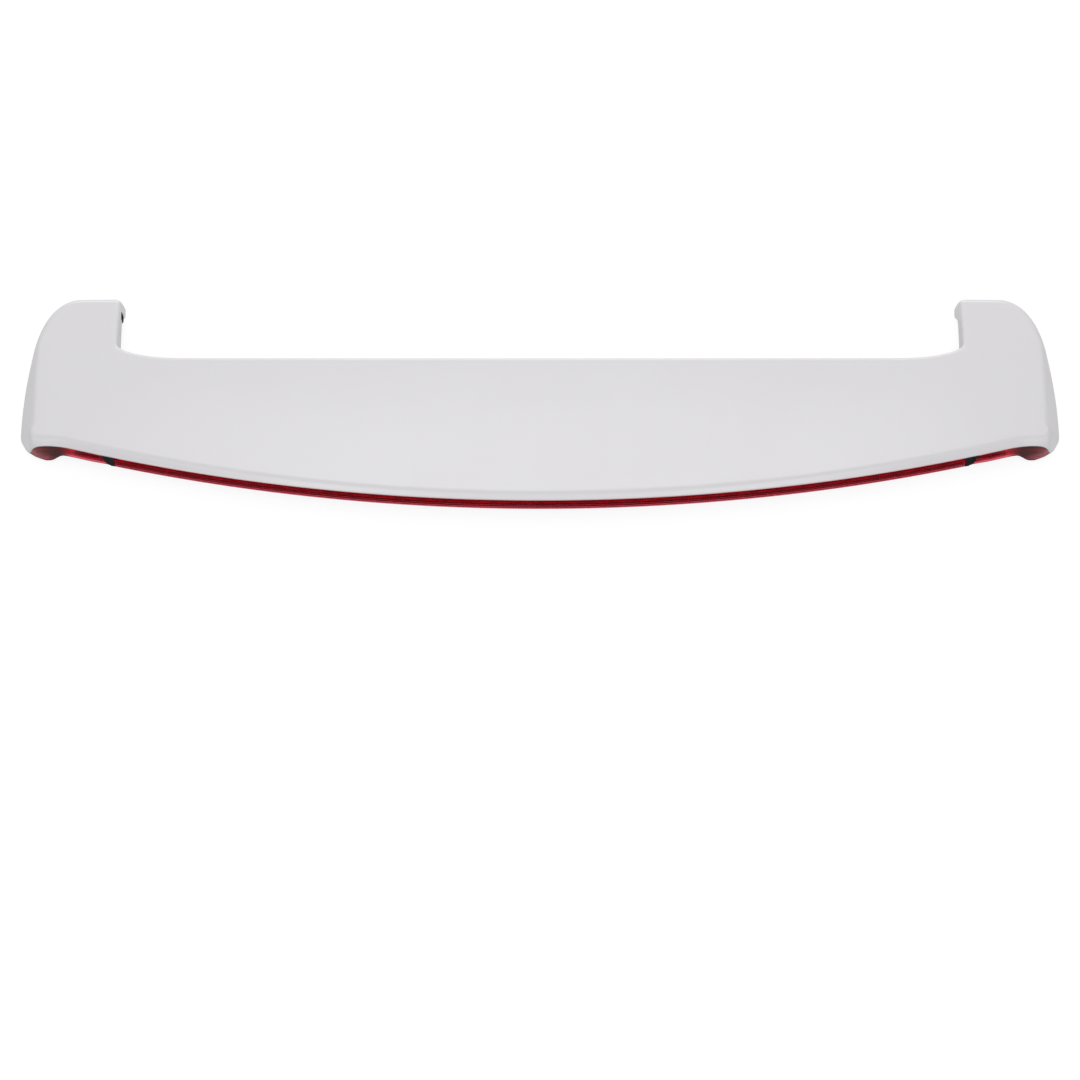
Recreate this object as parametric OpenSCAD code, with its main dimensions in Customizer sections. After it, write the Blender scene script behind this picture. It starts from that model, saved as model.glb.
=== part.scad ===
// Rear roof spoiler of a car, with a three-piece stop lamp along its curved trailing edge.
// Seen from above it is a wide C: the straight leading edge and two short legs face the front
// of the car (+Y), the trailing edge faces the rear (-Y), and +X is the car's right-hand side.
// It stands on two foam pads at z = 0, with the origin below the middle of its box.

/* [Overall] */
// Width across the two ends
span = 1200; // [1100:10:1300]
// Depth from the front of the legs to the rearmost point of the lamp
depth = 256; // [249:1:265]
// Width of a leg, from its inner wall to the widest point of the side
leg_w = 112; // [106:1:118]
// How far the legs reach in front of the leading edge
leg_len = 84; // [79:1:89]
// Greatest height of the top surface
crown_z = 61; // [59:1:65]
// Fall of the top surface from the middle to the ends
crown_side = 9; // [6:1:11]
// Fall of the top surface 100 mm in front of or behind its ridge
crown_len = 2.5; // [1:0.5:3]

/* [Edges] */
// Set-back of the leading edge at the middle against its ends
le_bow = 2; // [0:0.5:4]
// Length across the car of the curve that joins the leading edge to a leg
fillet_x = 78; // [70:1:90]
// Length along the car of that curve
fillet_y = 20; // [16:1:22]
// Rounding of the top of the leading edge and of the legs' inner walls
inner_round = 4; // [3.5:0.5:4]
// Rounding of the top of the legs' front walls
front_round = 4; // [3.5:0.5:4]
// How far the top edge of a leg's front wall lies behind its foot
front_rake = 9; // [5:0.5:12]
// Corner radius between a leg's front and inner walls
toe_r = 5; // [5:0.5:8]
// How far the foot of a leg's inner wall steps towards the middle
toe_flare = 0.5; // [0:0.5:3]
// Radius of the trailing lip's arc
lip_r = 2265; // [2100:5:2600]
// Height of the trailing lip at the middle
lip_z = 51; // [48:0.5:52]
// Thickness of the lip above the lamp
lip_t = 2.5; // [2:0.5:3]
// Width of the bevel along the trailing lip
bevel_w = 7.5; // [6:0.5:10]
// Distance of the side crease of the top from the widest point of the side
side_w = 20; // [17:1:23]
// Height at which a sloping side face turns into the upright wall
side_edge_z = 14; // [11:1:17]
// Plan radius of a rear corner
corner_r = 20; // [17:1:24]
// Plan radius of a side
side_r = 500; // [440:10:600]
// Width across the car of the rounding of a front corner
nose_w = 60; // [54:1:66]
// Length along the car of that rounding
nose_len = 88; // [82:1:94]

/* [Walls] */
// Wall of the upper shell
wall = 3; // [2.5:0.1:3.4]
// Thickness of the lower cover
cover_t = 2.5; // [2:0.1:3]
// Play between parts that fit together
play = 0.3; // [0.2:0.05:0.4]
// Underside height at the middle of the leading edge
le_under_z = 44; // [40:1:46]
// Underside height along the rear part of a leg's inner wall
leg_under_z = 22; // [20:1:26]
// Thickness of the foam pads
pad_t = 2; // [1.5:0.5:3]

/* [Lamp] */
// Tilt of the lamp's plane, lower towards the ends
lamp_tilt = 7; // [5:0.5:8]
// Height of the lamp below the lip
lamp_h = 21; // [19:0.5:22]
// Bulge of the lens face beyond the lip
lens_bulge = 1.3; // [0.8:0.1:2]
// Wall of the lens
lens_t = 2.5; // [2:0.1:2.8]
// Depth of the lens flanges
flange = 7; // [6:0.5:8]
// Distance of a joint between two lenses from the end of the car on its side
joint_in = 106.5; // [102:0.5:120]
// Width of the block in a joint
seal_w = 12; // [8:0.5:14]
// Depth of the lamp housing behind the lip
housing_d = 20; // [19:0.5:21]
// Wall of the lamp housing
housing_t = 2; // [1.6:0.1:2.2]
// Number of light sources in the middle lamp
led_n = 36; // [24:1:48]
// Number of light sources in an end lamp
led_end_n = 3; // [2:1:4]

/* [Fasteners] */
// Distance of a leg's threaded inserts from its side
insert_in = 44; // [41:1:48]
// Distance between the front and rear insert of a leg
insert_pitch = 70; // [60:1:76]
// Distance of the front inserts behind the front of the legs
insert_back = 36; // [32:1:40]
// Radius of an insert's thread bore
insert_bore_r = 2.5; // [2:0.1:3]
// Outer radius of an insert
insert_r = 4.5; // [4:0.1:5]
// Height of an insert
insert_h = 13; // [10:0.5:15]
// Thread radius of the housing and cover screws
screw_r = 1.5; // [1.3:0.1:1.8]
// Head radius of those screws
screw_head_r = 3.2; // [2.8:0.1:3.6]

/* [Hidden] */

// Small helpers
function lerp(a, b, t) = a + (b - a) * t;
function clamp(t) = min(1, max(0, t));
function ease(t) = let (c = clamp(t)) c * c * (3 - 2 * c);
function unit(v) = v / norm(v);

// Plan lines that the rest hangs on
front_y = depth / 2;
le_y = front_y - leg_len;
inner_x = span / 2 - leg_w;
fillet_start = inner_x - fillet_x;
joint_x = span / 2 - joint_in;
crown_y = -24;

// Outer face of the lens as [beyond the lip, below the lip], in the lamp's tilted plane
lens_top = -(lip_t + play);
lens_bottom = lens_top - lamp_h;
lens_curve = [[0, 0], [0.55, 0.12], [0.85, 0.3], [1, 0.5], [1, 0.72], [0.9, 0.88], [0.55, 0.97], [0.1, 1]];
lens_face = [for (p = lens_curve) [lens_bulge * p[0], lerp(lens_top, lens_bottom, p[1])]];
function proud(p) = cos(lamp_tilt) * p[0] - sin(lamp_tilt) * p[1];
lens_proud = max([for (p = lens_face) proud(p)]);

// The trailing lip: an arc in a plane tilted about X, which straightens out near the ends
lip_y = lens_proud - depth / 2;
tail_in = 64;
tail_x = span / 2 - tail_in;
tail_ease = 30;
tail_fall = 31;
tail_fall_in = 48;
tail_tip_in = 12;
tail_fall_x = span / 2 - tail_fall_in;
tail_tip_x = span / 2 - tail_tip_in;
function arc_rise(x) = lip_r - sqrt(lip_r * lip_r - x * x);
function lip_slope(x) =
    cos(lamp_tilt) * min(x, tail_x) / sqrt(lip_r * lip_r - pow(min(x, tail_x), 2))
    * (1 - clamp((x - tail_x) / tail_ease));
function lip_line(x) = x <= tail_x
    ? lip_y + cos(lamp_tilt) * arc_rise(x)
    : let (e = min(x - tail_x, tail_ease))
        lip_line(tail_x) + lip_slope(tail_x) * (e - e * e / (2 * tail_ease));
function lip_height(x) = lip_z - sin(lamp_tilt) * arc_rise(min(x, tail_x + tail_ease / 2))
    - tail_fall * pow(clamp((x - tail_fall_x) / (tail_tip_x - tail_fall_x)), 2);

// Rear corner, side and front corner of the outline, as curves that touch each other
tail_y = lip_line(tail_x + tail_ease);
corner_c = [span / 2 - corner_r, tail_y + corner_r];
side_c = [span / 2 - side_r, corner_c[1]];
function nose_turn(a) = atan(nose_len / nose_w * tan(a));
function side_sweep(a, n) = n == 0 ? a : side_sweep(
    asin((front_y - nose_len * (1 - sin(nose_turn(a))) - side_c[1]) / side_r), n - 1);
side_end = side_sweep(12, 8);
nose_c = [side_c[0] + side_r * cos(side_end) - nose_w * cos(nose_turn(side_end)), front_y - nose_len];
lens_end = -64;

// Heights of the top surface and of the underside
function top_z(p) = crown_z - crown_side * pow(p[0] / (span / 2), 2)
    - crown_len * pow((p[1] - crown_y) / 100, 2);
wing_in = 58;
wing_x = span / 2 - wing_in;
wing_slope = 22;
wing_sweep = 0.25;
foot_len = 13;
foot_flat = 12;
foot_start = front_y - foot_flat - foot_len;
function lamp_under_z(x) = lip_z + cos(lamp_tilt) * lens_bottom
    - sin(lamp_tilt) * (arc_rise(min(x, tail_x)) + flange);
function blade_under_z(x, y) =
    let (rear = lip_line(x), front = lerp(le_under_z, leg_under_z, ease((x - fillet_start) / fillet_x)))
        lerp(lamp_under_z(x), front, clamp((y - rear) / (le_y - rear)));
function wing(x, y) = ease((x - wing_x + wing_sweep * (y - tail_y)) / wing_slope);
function foot(y) = ease((y - foot_start) / foot_len);
function under_z(p) = let (x = abs(p[0]))
    lerp(blade_under_z(x, p[1]), pad_t, max(wing(x, p[1]), foot(p[1])));

// Stations along one half, from the middle of the car to the inner front corner of the leg.
// Each has a point on the inner line and a point on the outer line.
n_blade = 12;
n_tail = 8;
n_corner = 5;
n_side = 5;
n_nose = 6;
n_front = 3;
n_fillet = n_tail + n_corner;
n_wall = n_side + n_nose + n_front;
n_half = n_blade + n_fillet + n_wall;
tail_start = joint_x;

// Inner line: [x, y, inward normal x, inward normal y]
function fillet_station(a) = let (n = unit([fillet_y * sin(a), -fillet_x * cos(a)]))
    [fillet_start + fillet_x * sin(a), le_y + le_bow + fillet_y * (1 - cos(a)), n[0], n[1]];
function wall_station(t) = let (y = lerp(le_y + le_bow + fillet_y, front_y - toe_r, t))
    [inner_x - toe_flare * foot(y + foot_len / 2), y, 1, 0];
inner_line = concat(
    [for (i = [0 : n_blade - 1]) let (t = i / n_blade) [t * fillet_start, le_y + le_bow * t * t, 0, -1]],
    [for (i = [0 : n_fillet - 1]) fillet_station(90 * i / n_fillet)],
    [for (i = [0 : n_wall]) wall_station(i / n_wall)]);

// Outer line: [x, y, inward normal x, y, band width, roundness, edge height, bottom height]
side_roundness = 0.35;
crease_x = span / 2 - side_w;
function side_band(a) = (side_c[0] + side_r * cos(a) - crease_x) / cos(a);
function lip_station(x) = let (s = lip_slope(x), n = unit([-s, 1]))
    [x, lip_line(x), n[0], n[1], bevel_w, 0, lip_height(x), lip_height(x) - lip_t];
function corner_station(a) =
    let (p = corner_c + corner_r * [cos(a), sin(a)], k = clamp((a + 90) / 90),
         edge = a > lens_end ? side_edge_z : lip_height(p[0]))
    [p[0], p[1], -cos(a), -sin(a), lerp(bevel_w, side_w, ease(k)), side_roundness * ease(k),
     max(edge, side_edge_z - 3 * (1 - k)), a > lens_end ? pad_t : edge - lip_t];
function side_station(t) = let (a = side_end * t, p = side_c + side_r * [cos(a), sin(a)])
    [p[0], p[1], -cos(a), -sin(a), max(side_band(a), front_round), side_roundness, side_edge_z, pad_t];
function nose_station(t) =
    let (a = lerp(nose_turn(side_end), 90, t), p = nose_c + [nose_w * cos(a), nose_len * sin(a)],
         n = unit([-nose_len * cos(a), -nose_w * sin(a)]), k = ease(t))
    [p[0], p[1], n[0], n[1], max(lerp(side_band(side_end), front_round, k), front_round),
     lerp(side_roundness, 1, k),
     lerp(side_edge_z, top_z(p) - front_round, k), pad_t];
function front_station(t) = let (p = [lerp(nose_c[0], inner_x - toe_flare + toe_r, t), front_y])
    [p[0], p[1], 0, -1, front_round, 1, top_z(p) - front_round, pad_t];
outer_line = concat(
    [for (i = [0 : n_blade - 1]) lip_station(i * tail_start / n_blade)],
    [for (i = [0 : n_tail - 1]) lip_station(lerp(tail_start, corner_c[0], i / n_tail))],
    [for (i = [0 : n_corner - 1]) corner_station(90 * (i / n_corner - 1))],
    [for (i = [0 : n_side - 1]) side_station(i / n_side)],
    [for (i = [0 : n_nose - 1]) nose_station(i / n_nose)],
    [for (i = [0 : n_front]) front_station(i / n_front)]);
function plan(s) = [s[0], s[1]];
function inward(s, d) = [s[0] + s[2] * d, s[1] + s[3] * d];

// One section of the shell, from the foot of the inner wall over the top to the outer foot.
// inset is 0 for the outside and the wall for the inside.
edge_angles = [0, 30, 60, 90];
band_angles = [90, 72, 54, 36, 18, 0];
n_top = 4;
function inner_edge(s, inset) = [for (a = edge_angles)
    let (r = inner_round - inset, p = inward(s, inset + r * (1 - cos(a))))
        [p[0], p[1], top_z(p) - inset - r * (1 - sin(a))]];
function outer_band(s, inset) = [for (a = band_angles)
    let (q = 1 - cos(a), p = inward(s, inset + (s[4] - inset) * q), f = lerp(q, sin(a), s[5]))
        [p[0], p[1], lerp(s[6] - (s[5] == 0 ? inset * 0.4 : 0), top_z(p) - inset, f)]];
// Leans the front walls of the legs back towards the top
function raked(p) = [p[0], p[1] - front_rake * ease((p[1] - nose_c[1]) / (nose_len - front_rake))
    * clamp((p[2] - pad_t) / (top_z(p) - pad_t)), p[2]];
function section(i, inset) = [for (p = upright_section(i, inset)) raked(p)];
function upright_section(i, inset) =
    let (a = inner_line[i], b = outer_line[i], e = inner_edge(a, inset), o = outer_band(b, inset),
         foot_a = inward(a, inset), foot_b = inward(b, inset), p = e[len(e) - 1], q = o[0])
    concat([[foot_a[0], foot_a[1], under_z(plan(a))]], e,
        [for (k = [1 : n_top]) let (m = lerp(p, q, k / (n_top + 1))) [m[0], m[1], top_z(m) - inset]],
        o, [[foot_b[0], foot_b[1], b[7]]]);
n_row = 1 + len(edge_angles) + n_top + len(band_angles) + 1;

// Both halves of a set of sections, from the left front corner round to the right one
function flip_x(pts) = [for (p = pts) [-p[0], p[1], p[2]]];
function both_halves(rows) = concat([for (i = [len(rows) - 1 : -1 : 1]) flip_x(rows[i])], rows);

// Faces between two neighbouring rows of points, split the same way on both halves
function quad(a, b, c, d, turn) = turn ? [[a, b, c], [a, c, d]] : [[a, b, d], [b, c, d]];
function turned(f) = [for (t = f) [t[2], t[1], t[0]]];
function grid(ni, nj, off) = [for (i = [0 : ni - 2]) for (j = [0 : nj - 2])
    each quad(off + i * nj + j, off + i * nj + j + 1, off + (i + 1) * nj + j + 1, off + (i + 1) * nj + j,
        i < (ni - 1) / 2)];
// End over one row of points: strips from its two feet up to the top, then a fan under the top
n_strip = len(edge_angles) + 1;
function end_cap(nj, off) = concat(
    [for (j = [0 : n_strip - 1]) each quad(off + j, off + nj - 1 - j, off + nj - 2 - j, off + j + 1, true)],
    [for (j = [n_strip : nj - 3 - n_strip]) [off + nj - 1 - n_strip, off + j + 1, off + j]]);
// Strip between two lines of points with the given steps
function strip(n, a, da, b, db) = [for (i = [0 : n - 2])
    each quad(a + i * da, a + (i + 1) * da, b + (i + 1) * db, b + i * db, i < (n - 1) / 2)];
function flat(rows) = [for (r = rows) each r];

module shell_body() {
    outside = both_halves([for (i = [0 : n_half]) section(i, 0)]);
    inside = both_halves([for (i = [0 : n_half]) section(i, wall)]);
    ni = len(outside);
    off = ni * n_row;
    last = (ni - 1) * n_row;
    polyhedron(concat(flat(outside), flat(inside)), concat(
        turned(grid(ni, n_row, 0)), grid(ni, n_row, off),
        end_cap(n_row, last), turned(end_cap(n_row, 0)),
        turned(end_cap(n_row, off + last)), end_cap(n_row, off),
        turned(strip(ni, 0, n_row, off, n_row)),
        strip(ni, n_row - 1, n_row, off + n_row - 1, n_row),
        quad(last, off + last, off + last + n_row - 1, last + n_row - 1, true),
        turned(quad(0, off, off + n_row - 1, n_row - 1, true))), convexity = 12);
}

// The lower cover lies inside the shell's walls and behind the lens flanges
n_cover = 11;
function cover_edge(b) = b[7] > pad_t && b[1] < corner_c[1] ? flange + play : wall + play;
function cover_row(i, lift) =
    let (a = inward(inner_line[i], wall + play), b = inward(outer_line[i], cover_edge(outer_line[i])))
    [for (k = [0 : n_cover - 1]) let (p = lerp(a, b, k / (n_cover - 1)))
        raked([p[0], p[1], under_z(p) + lift])];

module cover_body() {
    under = both_halves([for (i = [0 : n_half]) cover_row(i, 0)]);
    over = both_halves([for (i = [0 : n_half]) cover_row(i, cover_t)]);
    ni = len(under);
    off = ni * n_cover;
    last = (ni - 1) * n_cover;
    polyhedron(concat(flat(under), flat(over)), concat(
        grid(ni, n_cover, 0), turned(grid(ni, n_cover, off)),
        strip(ni, 0, n_cover, off, n_cover),
        turned(strip(ni, n_cover - 1, n_cover, off + n_cover - 1, n_cover)),
        strip(n_cover, last, 1, off + last, 1), turned(strip(n_cover, 0, 1, off, 1))), convexity = 12);
}

// Screws: [x, y] of those that hold the lamp housings and those that hold the cover
ear_r = 4;
ear_d = housing_d + ear_r - 2.4;
function ear_at(x) = let (s = lip_station(x)) inward(s, ear_d);
end_ear_x = tail_x - 2 * ear_r;
ear_x = concat(-end_ear_x, [for (f = [-0.8, -0.3, 0.3, 0.8]) f * joint_x], end_ear_x);
lamp_screw_at = [for (x = ear_x) let (p = ear_at(abs(x))) [sign(x) * p[0], p[1]]];
cover_screw_back = 22;
cover_screw_at = [for (f = [-0.92, -0.32, 0.32, 0.92]) [f * fillet_start, le_y - cover_screw_back]];
cover_boss_r = 4.5;
seat_depth = 1;
// Foot of an upright boss of radius r, just clear of the cover that slopes under it
function above_cover(p, r) = under_z([p[0], p[1] + r]) + cover_t + play;
module at_screws(list) {
    for (p = list) translate([p[0], p[1], under_z(p)]) children();
}
module screw(length) {
    translate([0, 0, seat_depth - 1.8]) cylinder(h = 1.8, r = screw_head_r, $fn = 32);
    translate([0, 0, seat_depth]) cylinder(h = length, r = screw_r, $fn = 32);
}
module screw_hole() {
    translate([0, 0, -2]) cylinder(h = 2 + seat_depth, r = screw_head_r + play, $fn = 32);
    cylinder(h = 2 * cover_t, r = screw_r + play, $fn = 32);
}

// Inserts: front and rear pair in the foot of each leg
insert_x = span / 2 - insert_in;
insert_y = [front_y - insert_back, front_y - insert_back - insert_pitch];
insert_boss_r = insert_r + 3.5;
module at_inserts(side) {
    for (y = insert_y) translate([side * insert_x, y, pad_t]) children();
}

// Upright slot for the cable in the inner wall of the left leg
cable_r = 3.2;
grommet_r = 5;
slot_rise = 9;
cable_back = 21.5;
cable_y = front_y - cable_back;
cable_z = pad_t + 21;
cable_reach = 14;
module slot(length, r) {
    rotate([0, 90, 0]) for (end = [0, slot_rise])
        translate([-end, 0, 0]) cylinder(h = length, r = r, $fn = 32);
    translate([0, -r, 0]) cube([length, 2 * r, slot_rise]);
}
module cable_exit() {
    translate([-inner_x - wall - cable_reach, cable_y, cable_z - slot_rise / 2])
        slot(wall + toe_flare + cable_reach + 4, grommet_r + play);
}

module upper_shell() color([0.86, 0.86, 0.88]) difference() {
    union() {
        shell_body();
        for (p = cover_screw_at) {
            base = above_cover(p, cover_boss_r);
            translate([p[0], p[1], base])
                cylinder(h = top_z(p) - wall / 2 - base, r = cover_boss_r, $fn = 32);
        }
    }
    at_screws(cover_screw_at) cylinder(h = cover_t + 9, r = screw_r, $fn = 32);
    cable_exit();
}

module lower_cover() color([0.8, 0.8, 0.82]) difference() {
    union() {
        cover_body();
        for (side = [-1, 1]) at_inserts(side) cylinder(h = insert_h + 2, r = insert_boss_r, $fn = 48);
    }
    for (side = [-1, 1]) at_inserts(side)
        translate([0, 0, -1]) cylinder(h = insert_h + 1, r = insert_r, $fn = 48);
    at_screws(concat(lamp_screw_at, cover_screw_at)) screw_hole();
    cable_exit();
}

// The lamp's parts are turned about the centre of the lip's arc, in its tilted plane
module lamp_plane() {
    translate([0, lip_y, lip_z]) rotate([-lamp_tilt, 0, 0]) translate([0, lip_r, 0]) children();
}
function turn(x) = asin(x / lip_r);
module swept(x0, x1, profile) {
    lamp_plane() rotate_extrude(angle = turn(x1) - turn(x0), start = 270 + turn(x0), $fn = 720)
        polygon([for (p = profile) [lip_r + p[0], p[1]]]);
}

// Lens profile: the curved face, then its two flanges and the hollow between them
function lens_profile(face, top, bottom) = concat(face,
    [[-flange, bottom], [-flange, bottom + lens_t], [-lens_t, bottom + lens_t],
     [lens_bulge - lens_t, bottom + 2 * lens_t], [lens_bulge - lens_t, top - 2 * lens_t],
     [-lens_t, top - lens_t], [-flange, top - lens_t], [-flange, top]]);
module centre_lens() color([0.6, 0.03, 0.1])
    swept(seal_w / 2 - joint_x, joint_x - seal_w / 2, lens_profile(lens_face, lens_top, lens_bottom));

// End lens: follows the lip round the rear corner and deepens to a pod
pod_in = 56;
pod_x = span / 2 - pod_in;
pod_len = 18;
pod_gap = 0.2;
pod_bulge = 0.6;
function pod_bottom(x) = lerp(
    lip_z + cos(lamp_tilt) * lens_bottom - sin(lamp_tilt) * arc_rise(min(x, tail_x)),
    pad_t + 2, ease((x - pod_x) / pod_len));
pod_stations = concat(
    [lip_station(joint_x + seal_w / 2)], [for (i = [n_blade + 1 : n_blade + n_tail + 1]) outer_line[i]],
    [corner_station(lens_end - 2)]);
function pod_section(s, k) =
    let (top = s[7] - play - pod_gap, bottom = pod_bottom(s[0]), h = top - bottom,
         t = min(lens_t - play, 0.28 * h), back = flange - 0.8,
         reach = k > n_tail ? 0.15 : 1 + pod_bulge * ease((s[0] - pod_x) / pod_len),
         face = [for (p = lens_curve) [reach * (lens_bulge * p[0] + sin(lamp_tilt) * lamp_h * p[1]),
             lerp(top, bottom, p[1])]],
         lip = reach * lens_bulge - t,
         ring = concat(face, [[-back, bottom], [-back, bottom + t], [-t, bottom + t],
             [lip + sin(lamp_tilt) * lamp_h * 0.7 * reach, bottom + 1.3 * t], [lip, top - 1.3 * t],
             [-t, top - t], [-back, top - t], [-back, top]]))
    [for (p = ring) let (q = inward(s, -p[0])) [q[0], q[1], p[1] + sin(lamp_tilt)
         * min(0, p[0] - sin(lamp_tilt) * lamp_h * (top - p[1]) / h)]];
n_pod = len(lens_curve) + 8;
function ring_end(nj, off) = [for (j = [0 : len(lens_curve) - 2])
    each quad(off + j, off + j + 1, off + nj - 2 - j, off + nj - 1 - j, true)];
function closed_strip(ni, nj) = [for (i = [0 : ni - 2]) for (j = [0 : nj - 1])
    each quad(i * nj + j, i * nj + (j + 1) % nj, (i + 1) * nj + (j + 1) % nj, (i + 1) * nj + j, true)];
module end_lens() color([0.6, 0.03, 0.1]) {
    rows = [for (k = [0 : len(pod_stations) - 1]) pod_section(pod_stations[k], k)];
    ni = len(rows);
    polyhedron(flat(rows), concat(turned(closed_strip(ni, n_pod)), ring_end(n_pod, 0),
        turned(ring_end(n_pod, (ni - 1) * n_pod))), convexity = 8);
}

// Seal between two lenses: a black block with the lens's outline, a little prouder
module joint_seal() color([0.1, 0.09, 0.1])
    swept(joint_x - seal_w / 2 + play, joint_x + seal_w / 2 - play, concat(
        [for (p = lens_face) [p[0] + 0.6, p[1]]], [[-flange, lens_bottom], [-flange, lens_top]]));

// Housing, reflector, circuit board and light sources behind the lens, narrower towards the back
board_t = 1.6;
led_size = [3.5, 1.6, 2.8];
inner_top = lens_top - lens_t - play;
inner_bottom = lens_bottom + lens_t + play;
taper = 5;
housing_profile = [[-3, inner_top], [-housing_d, inner_top], [-housing_d, inner_bottom + taper],
    [-3, inner_bottom], [-3, inner_bottom + housing_t],
    [housing_t - housing_d, inner_bottom + taper + housing_t],
    [housing_t - housing_d, inner_top - housing_t], [-3, inner_top - housing_t]];
board_p = housing_t + play - housing_d;
board_z = [inner_bottom + taper + housing_t + 2 * play, inner_top - housing_t - play];
led_z = (board_z[0] + board_z[1]) / 2;
mirror_t = 0.8;
mirror_p = board_p + board_t + play;
function mirror_z(p) = lerp(inner_bottom + housing_t, inner_bottom + taper + housing_t,
    (-3 - p) / (housing_d - housing_t - 3)) + 2 * play;
reflector_profile = [[-3.5, board_z[1]], [mirror_p, board_z[1]], [mirror_p, mirror_z(mirror_p)],
    [-3.5, mirror_z(-3.5)], [-3.5, mirror_z(-3.5) + mirror_t],
    [mirror_p + mirror_t, mirror_z(mirror_p) + mirror_t],
    [mirror_p + mirror_t, board_z[1] - mirror_t], [-3.5, board_z[1] - mirror_t]];
board_profile = [[board_p, board_z[0]], [board_p + board_t, board_z[0]],
    [board_p + board_t, board_z[1]], [board_p, board_z[1]]];

// Ranges of the three lamps across the car
lamp_gap = 2.5;
centre_range = [seal_w / 2 + lamp_gap - joint_x, joint_x - seal_w / 2 - lamp_gap];
end_range = [joint_x + seal_w / 2 + lamp_gap, tail_x];
function led_x(range, n) = [for (i = [0 : n - 1]) lerp(range[0], range[1], (i + 0.5) / n)];

// A block on the lamp's curve: its width, depth and height, centred on height z
module lamp_block(x, p, size, z) {
    lamp_plane() rotate([0, 0, turn(x)]) translate([-size[0] / 2, -lip_r - p - size[1], z - size[2] / 2])
        cube(size);
}
module housing(range, ears) color([0.08, 0.08, 0.09]) difference() {
    union() {
        swept(range[0], range[1], housing_profile);
        for (p = ears)
            translate([p[0], p[1], above_cover(p, ear_r)]) cylinder(h = 9, r = ear_r, $fn = 32);
    }
    at_screws(ears) cylinder(h = cover_t + 8, r = screw_r, $fn = 32);
}
module reflector(range, n) color([0.75, 0.75, 0.77]) difference() {
    swept(range[0] + 1, range[1] - 1, reflector_profile);
    for (x = led_x(range, n))
        lamp_block(x, mirror_p - 1, led_size + [2 * play, 2, 2 * play], led_z);
}
module board(range) color([0.1, 0.3, 0.15]) swept(range[0] + 2, range[1] - 2, board_profile);
module leds(range, n) color([0.9, 0.85, 0.5])
    for (x = led_x(range, n)) lamp_block(x, board_p + board_t, led_size, led_z);
// Two-pole header on the back of a housing
socket_size = [12, 8, 7];
socket_p = -housing_d - socket_size[1] - play / 3;
module socket(x) color([0.92, 0.92, 0.9]) difference() {
    lamp_block(x, socket_p, socket_size, inner_top - 5);
    lamp_block(x, socket_p - 1, socket_size - [2.4, 2, 2.4], inner_top - 5);
}

module inserts(side) color([0.75, 0.6, 0.3]) at_inserts(side) difference() {
    cylinder(h = insert_h - 0.5, r = insert_r, $fn = 48);
    translate([0, 0, -1]) cylinder(h = insert_h + 1, r = insert_bore_r, $fn = 48);
}

// Foam pad under the flat foot of a side, clear of the insert bores
pad_in = 4.5;
pad_stations = [for (i = [n_blade + n_tail + 3 : n_blade + n_fillet + n_side + n_nose]) outer_line[i]];
function pad_inner_x(y) = wing_x + wing_slope + 1 - wing_sweep * (y - tail_y);
module pad() color([0.12, 0.12, 0.13]) difference() {
    linear_extrude(height = pad_t) polygon(concat([for (s = pad_stations) inward(s, pad_in)],
        [for (y = [front_y - pad_in, tail_y + 2 * pad_in]) [pad_inner_x(y), y]]));
    for (y = insert_y) translate([insert_x, y, -1]) cylinder(h = pad_t + 2, r = insert_r + 1, $fn = 48);
}

module cable_grommet() color([0.07, 0.07, 0.07])
    translate([-inner_x - wall - 1, cable_y, cable_z - slot_rise / 2]) difference() {
        slot(wall + toe_flare + 1, grommet_r);
        translate([-1, 0, 0]) slot(wall + toe_flare + 3, cable_r);
    }

module on_left() mirror([1, 0, 0]) children();
end_ear = [for (p = lamp_screw_at) if (p[0] > joint_x) p];
centre_ears = [for (p = lamp_screw_at) if (abs(p[0]) < joint_x) p];
end_socket_x = end_range[0] + socket_size[0] / 2 + 2;

upper_shell();
lower_cover();
centre_lens();
on_left() end_lens();  // left_lens
end_lens();  // right_lens
on_left() joint_seal();  // left_joint_seal
joint_seal();  // right_joint_seal
housing(centre_range, centre_ears);  // centre_housing
on_left() housing(end_range, end_ear);  // left_housing
housing(end_range, end_ear);  // right_housing
reflector(centre_range, led_n);  // centre_reflector
on_left() reflector(end_range, led_end_n);  // left_reflector
reflector(end_range, led_end_n);  // right_reflector
board(centre_range);  // centre_board
on_left() board(end_range);  // left_board
board(end_range);  // right_board
leds(centre_range, led_n);  // centre_leds
on_left() leds(end_range, led_end_n);  // left_leds
leds(end_range, led_end_n);  // right_leds
socket(0);  // centre_socket
on_left() socket(end_socket_x);  // left_socket
socket(end_socket_x);  // right_socket
color("silver") at_screws(lamp_screw_at) screw(cover_t + 6);  // lamp_screws
color("silver") at_screws(cover_screw_at) screw(cover_t + 7);  // cover_screws
inserts(-1);  // left_inserts
inserts(1);  // right_inserts
on_left() pad();  // left_pad
pad();  // right_pad
cable_grommet();
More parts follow.
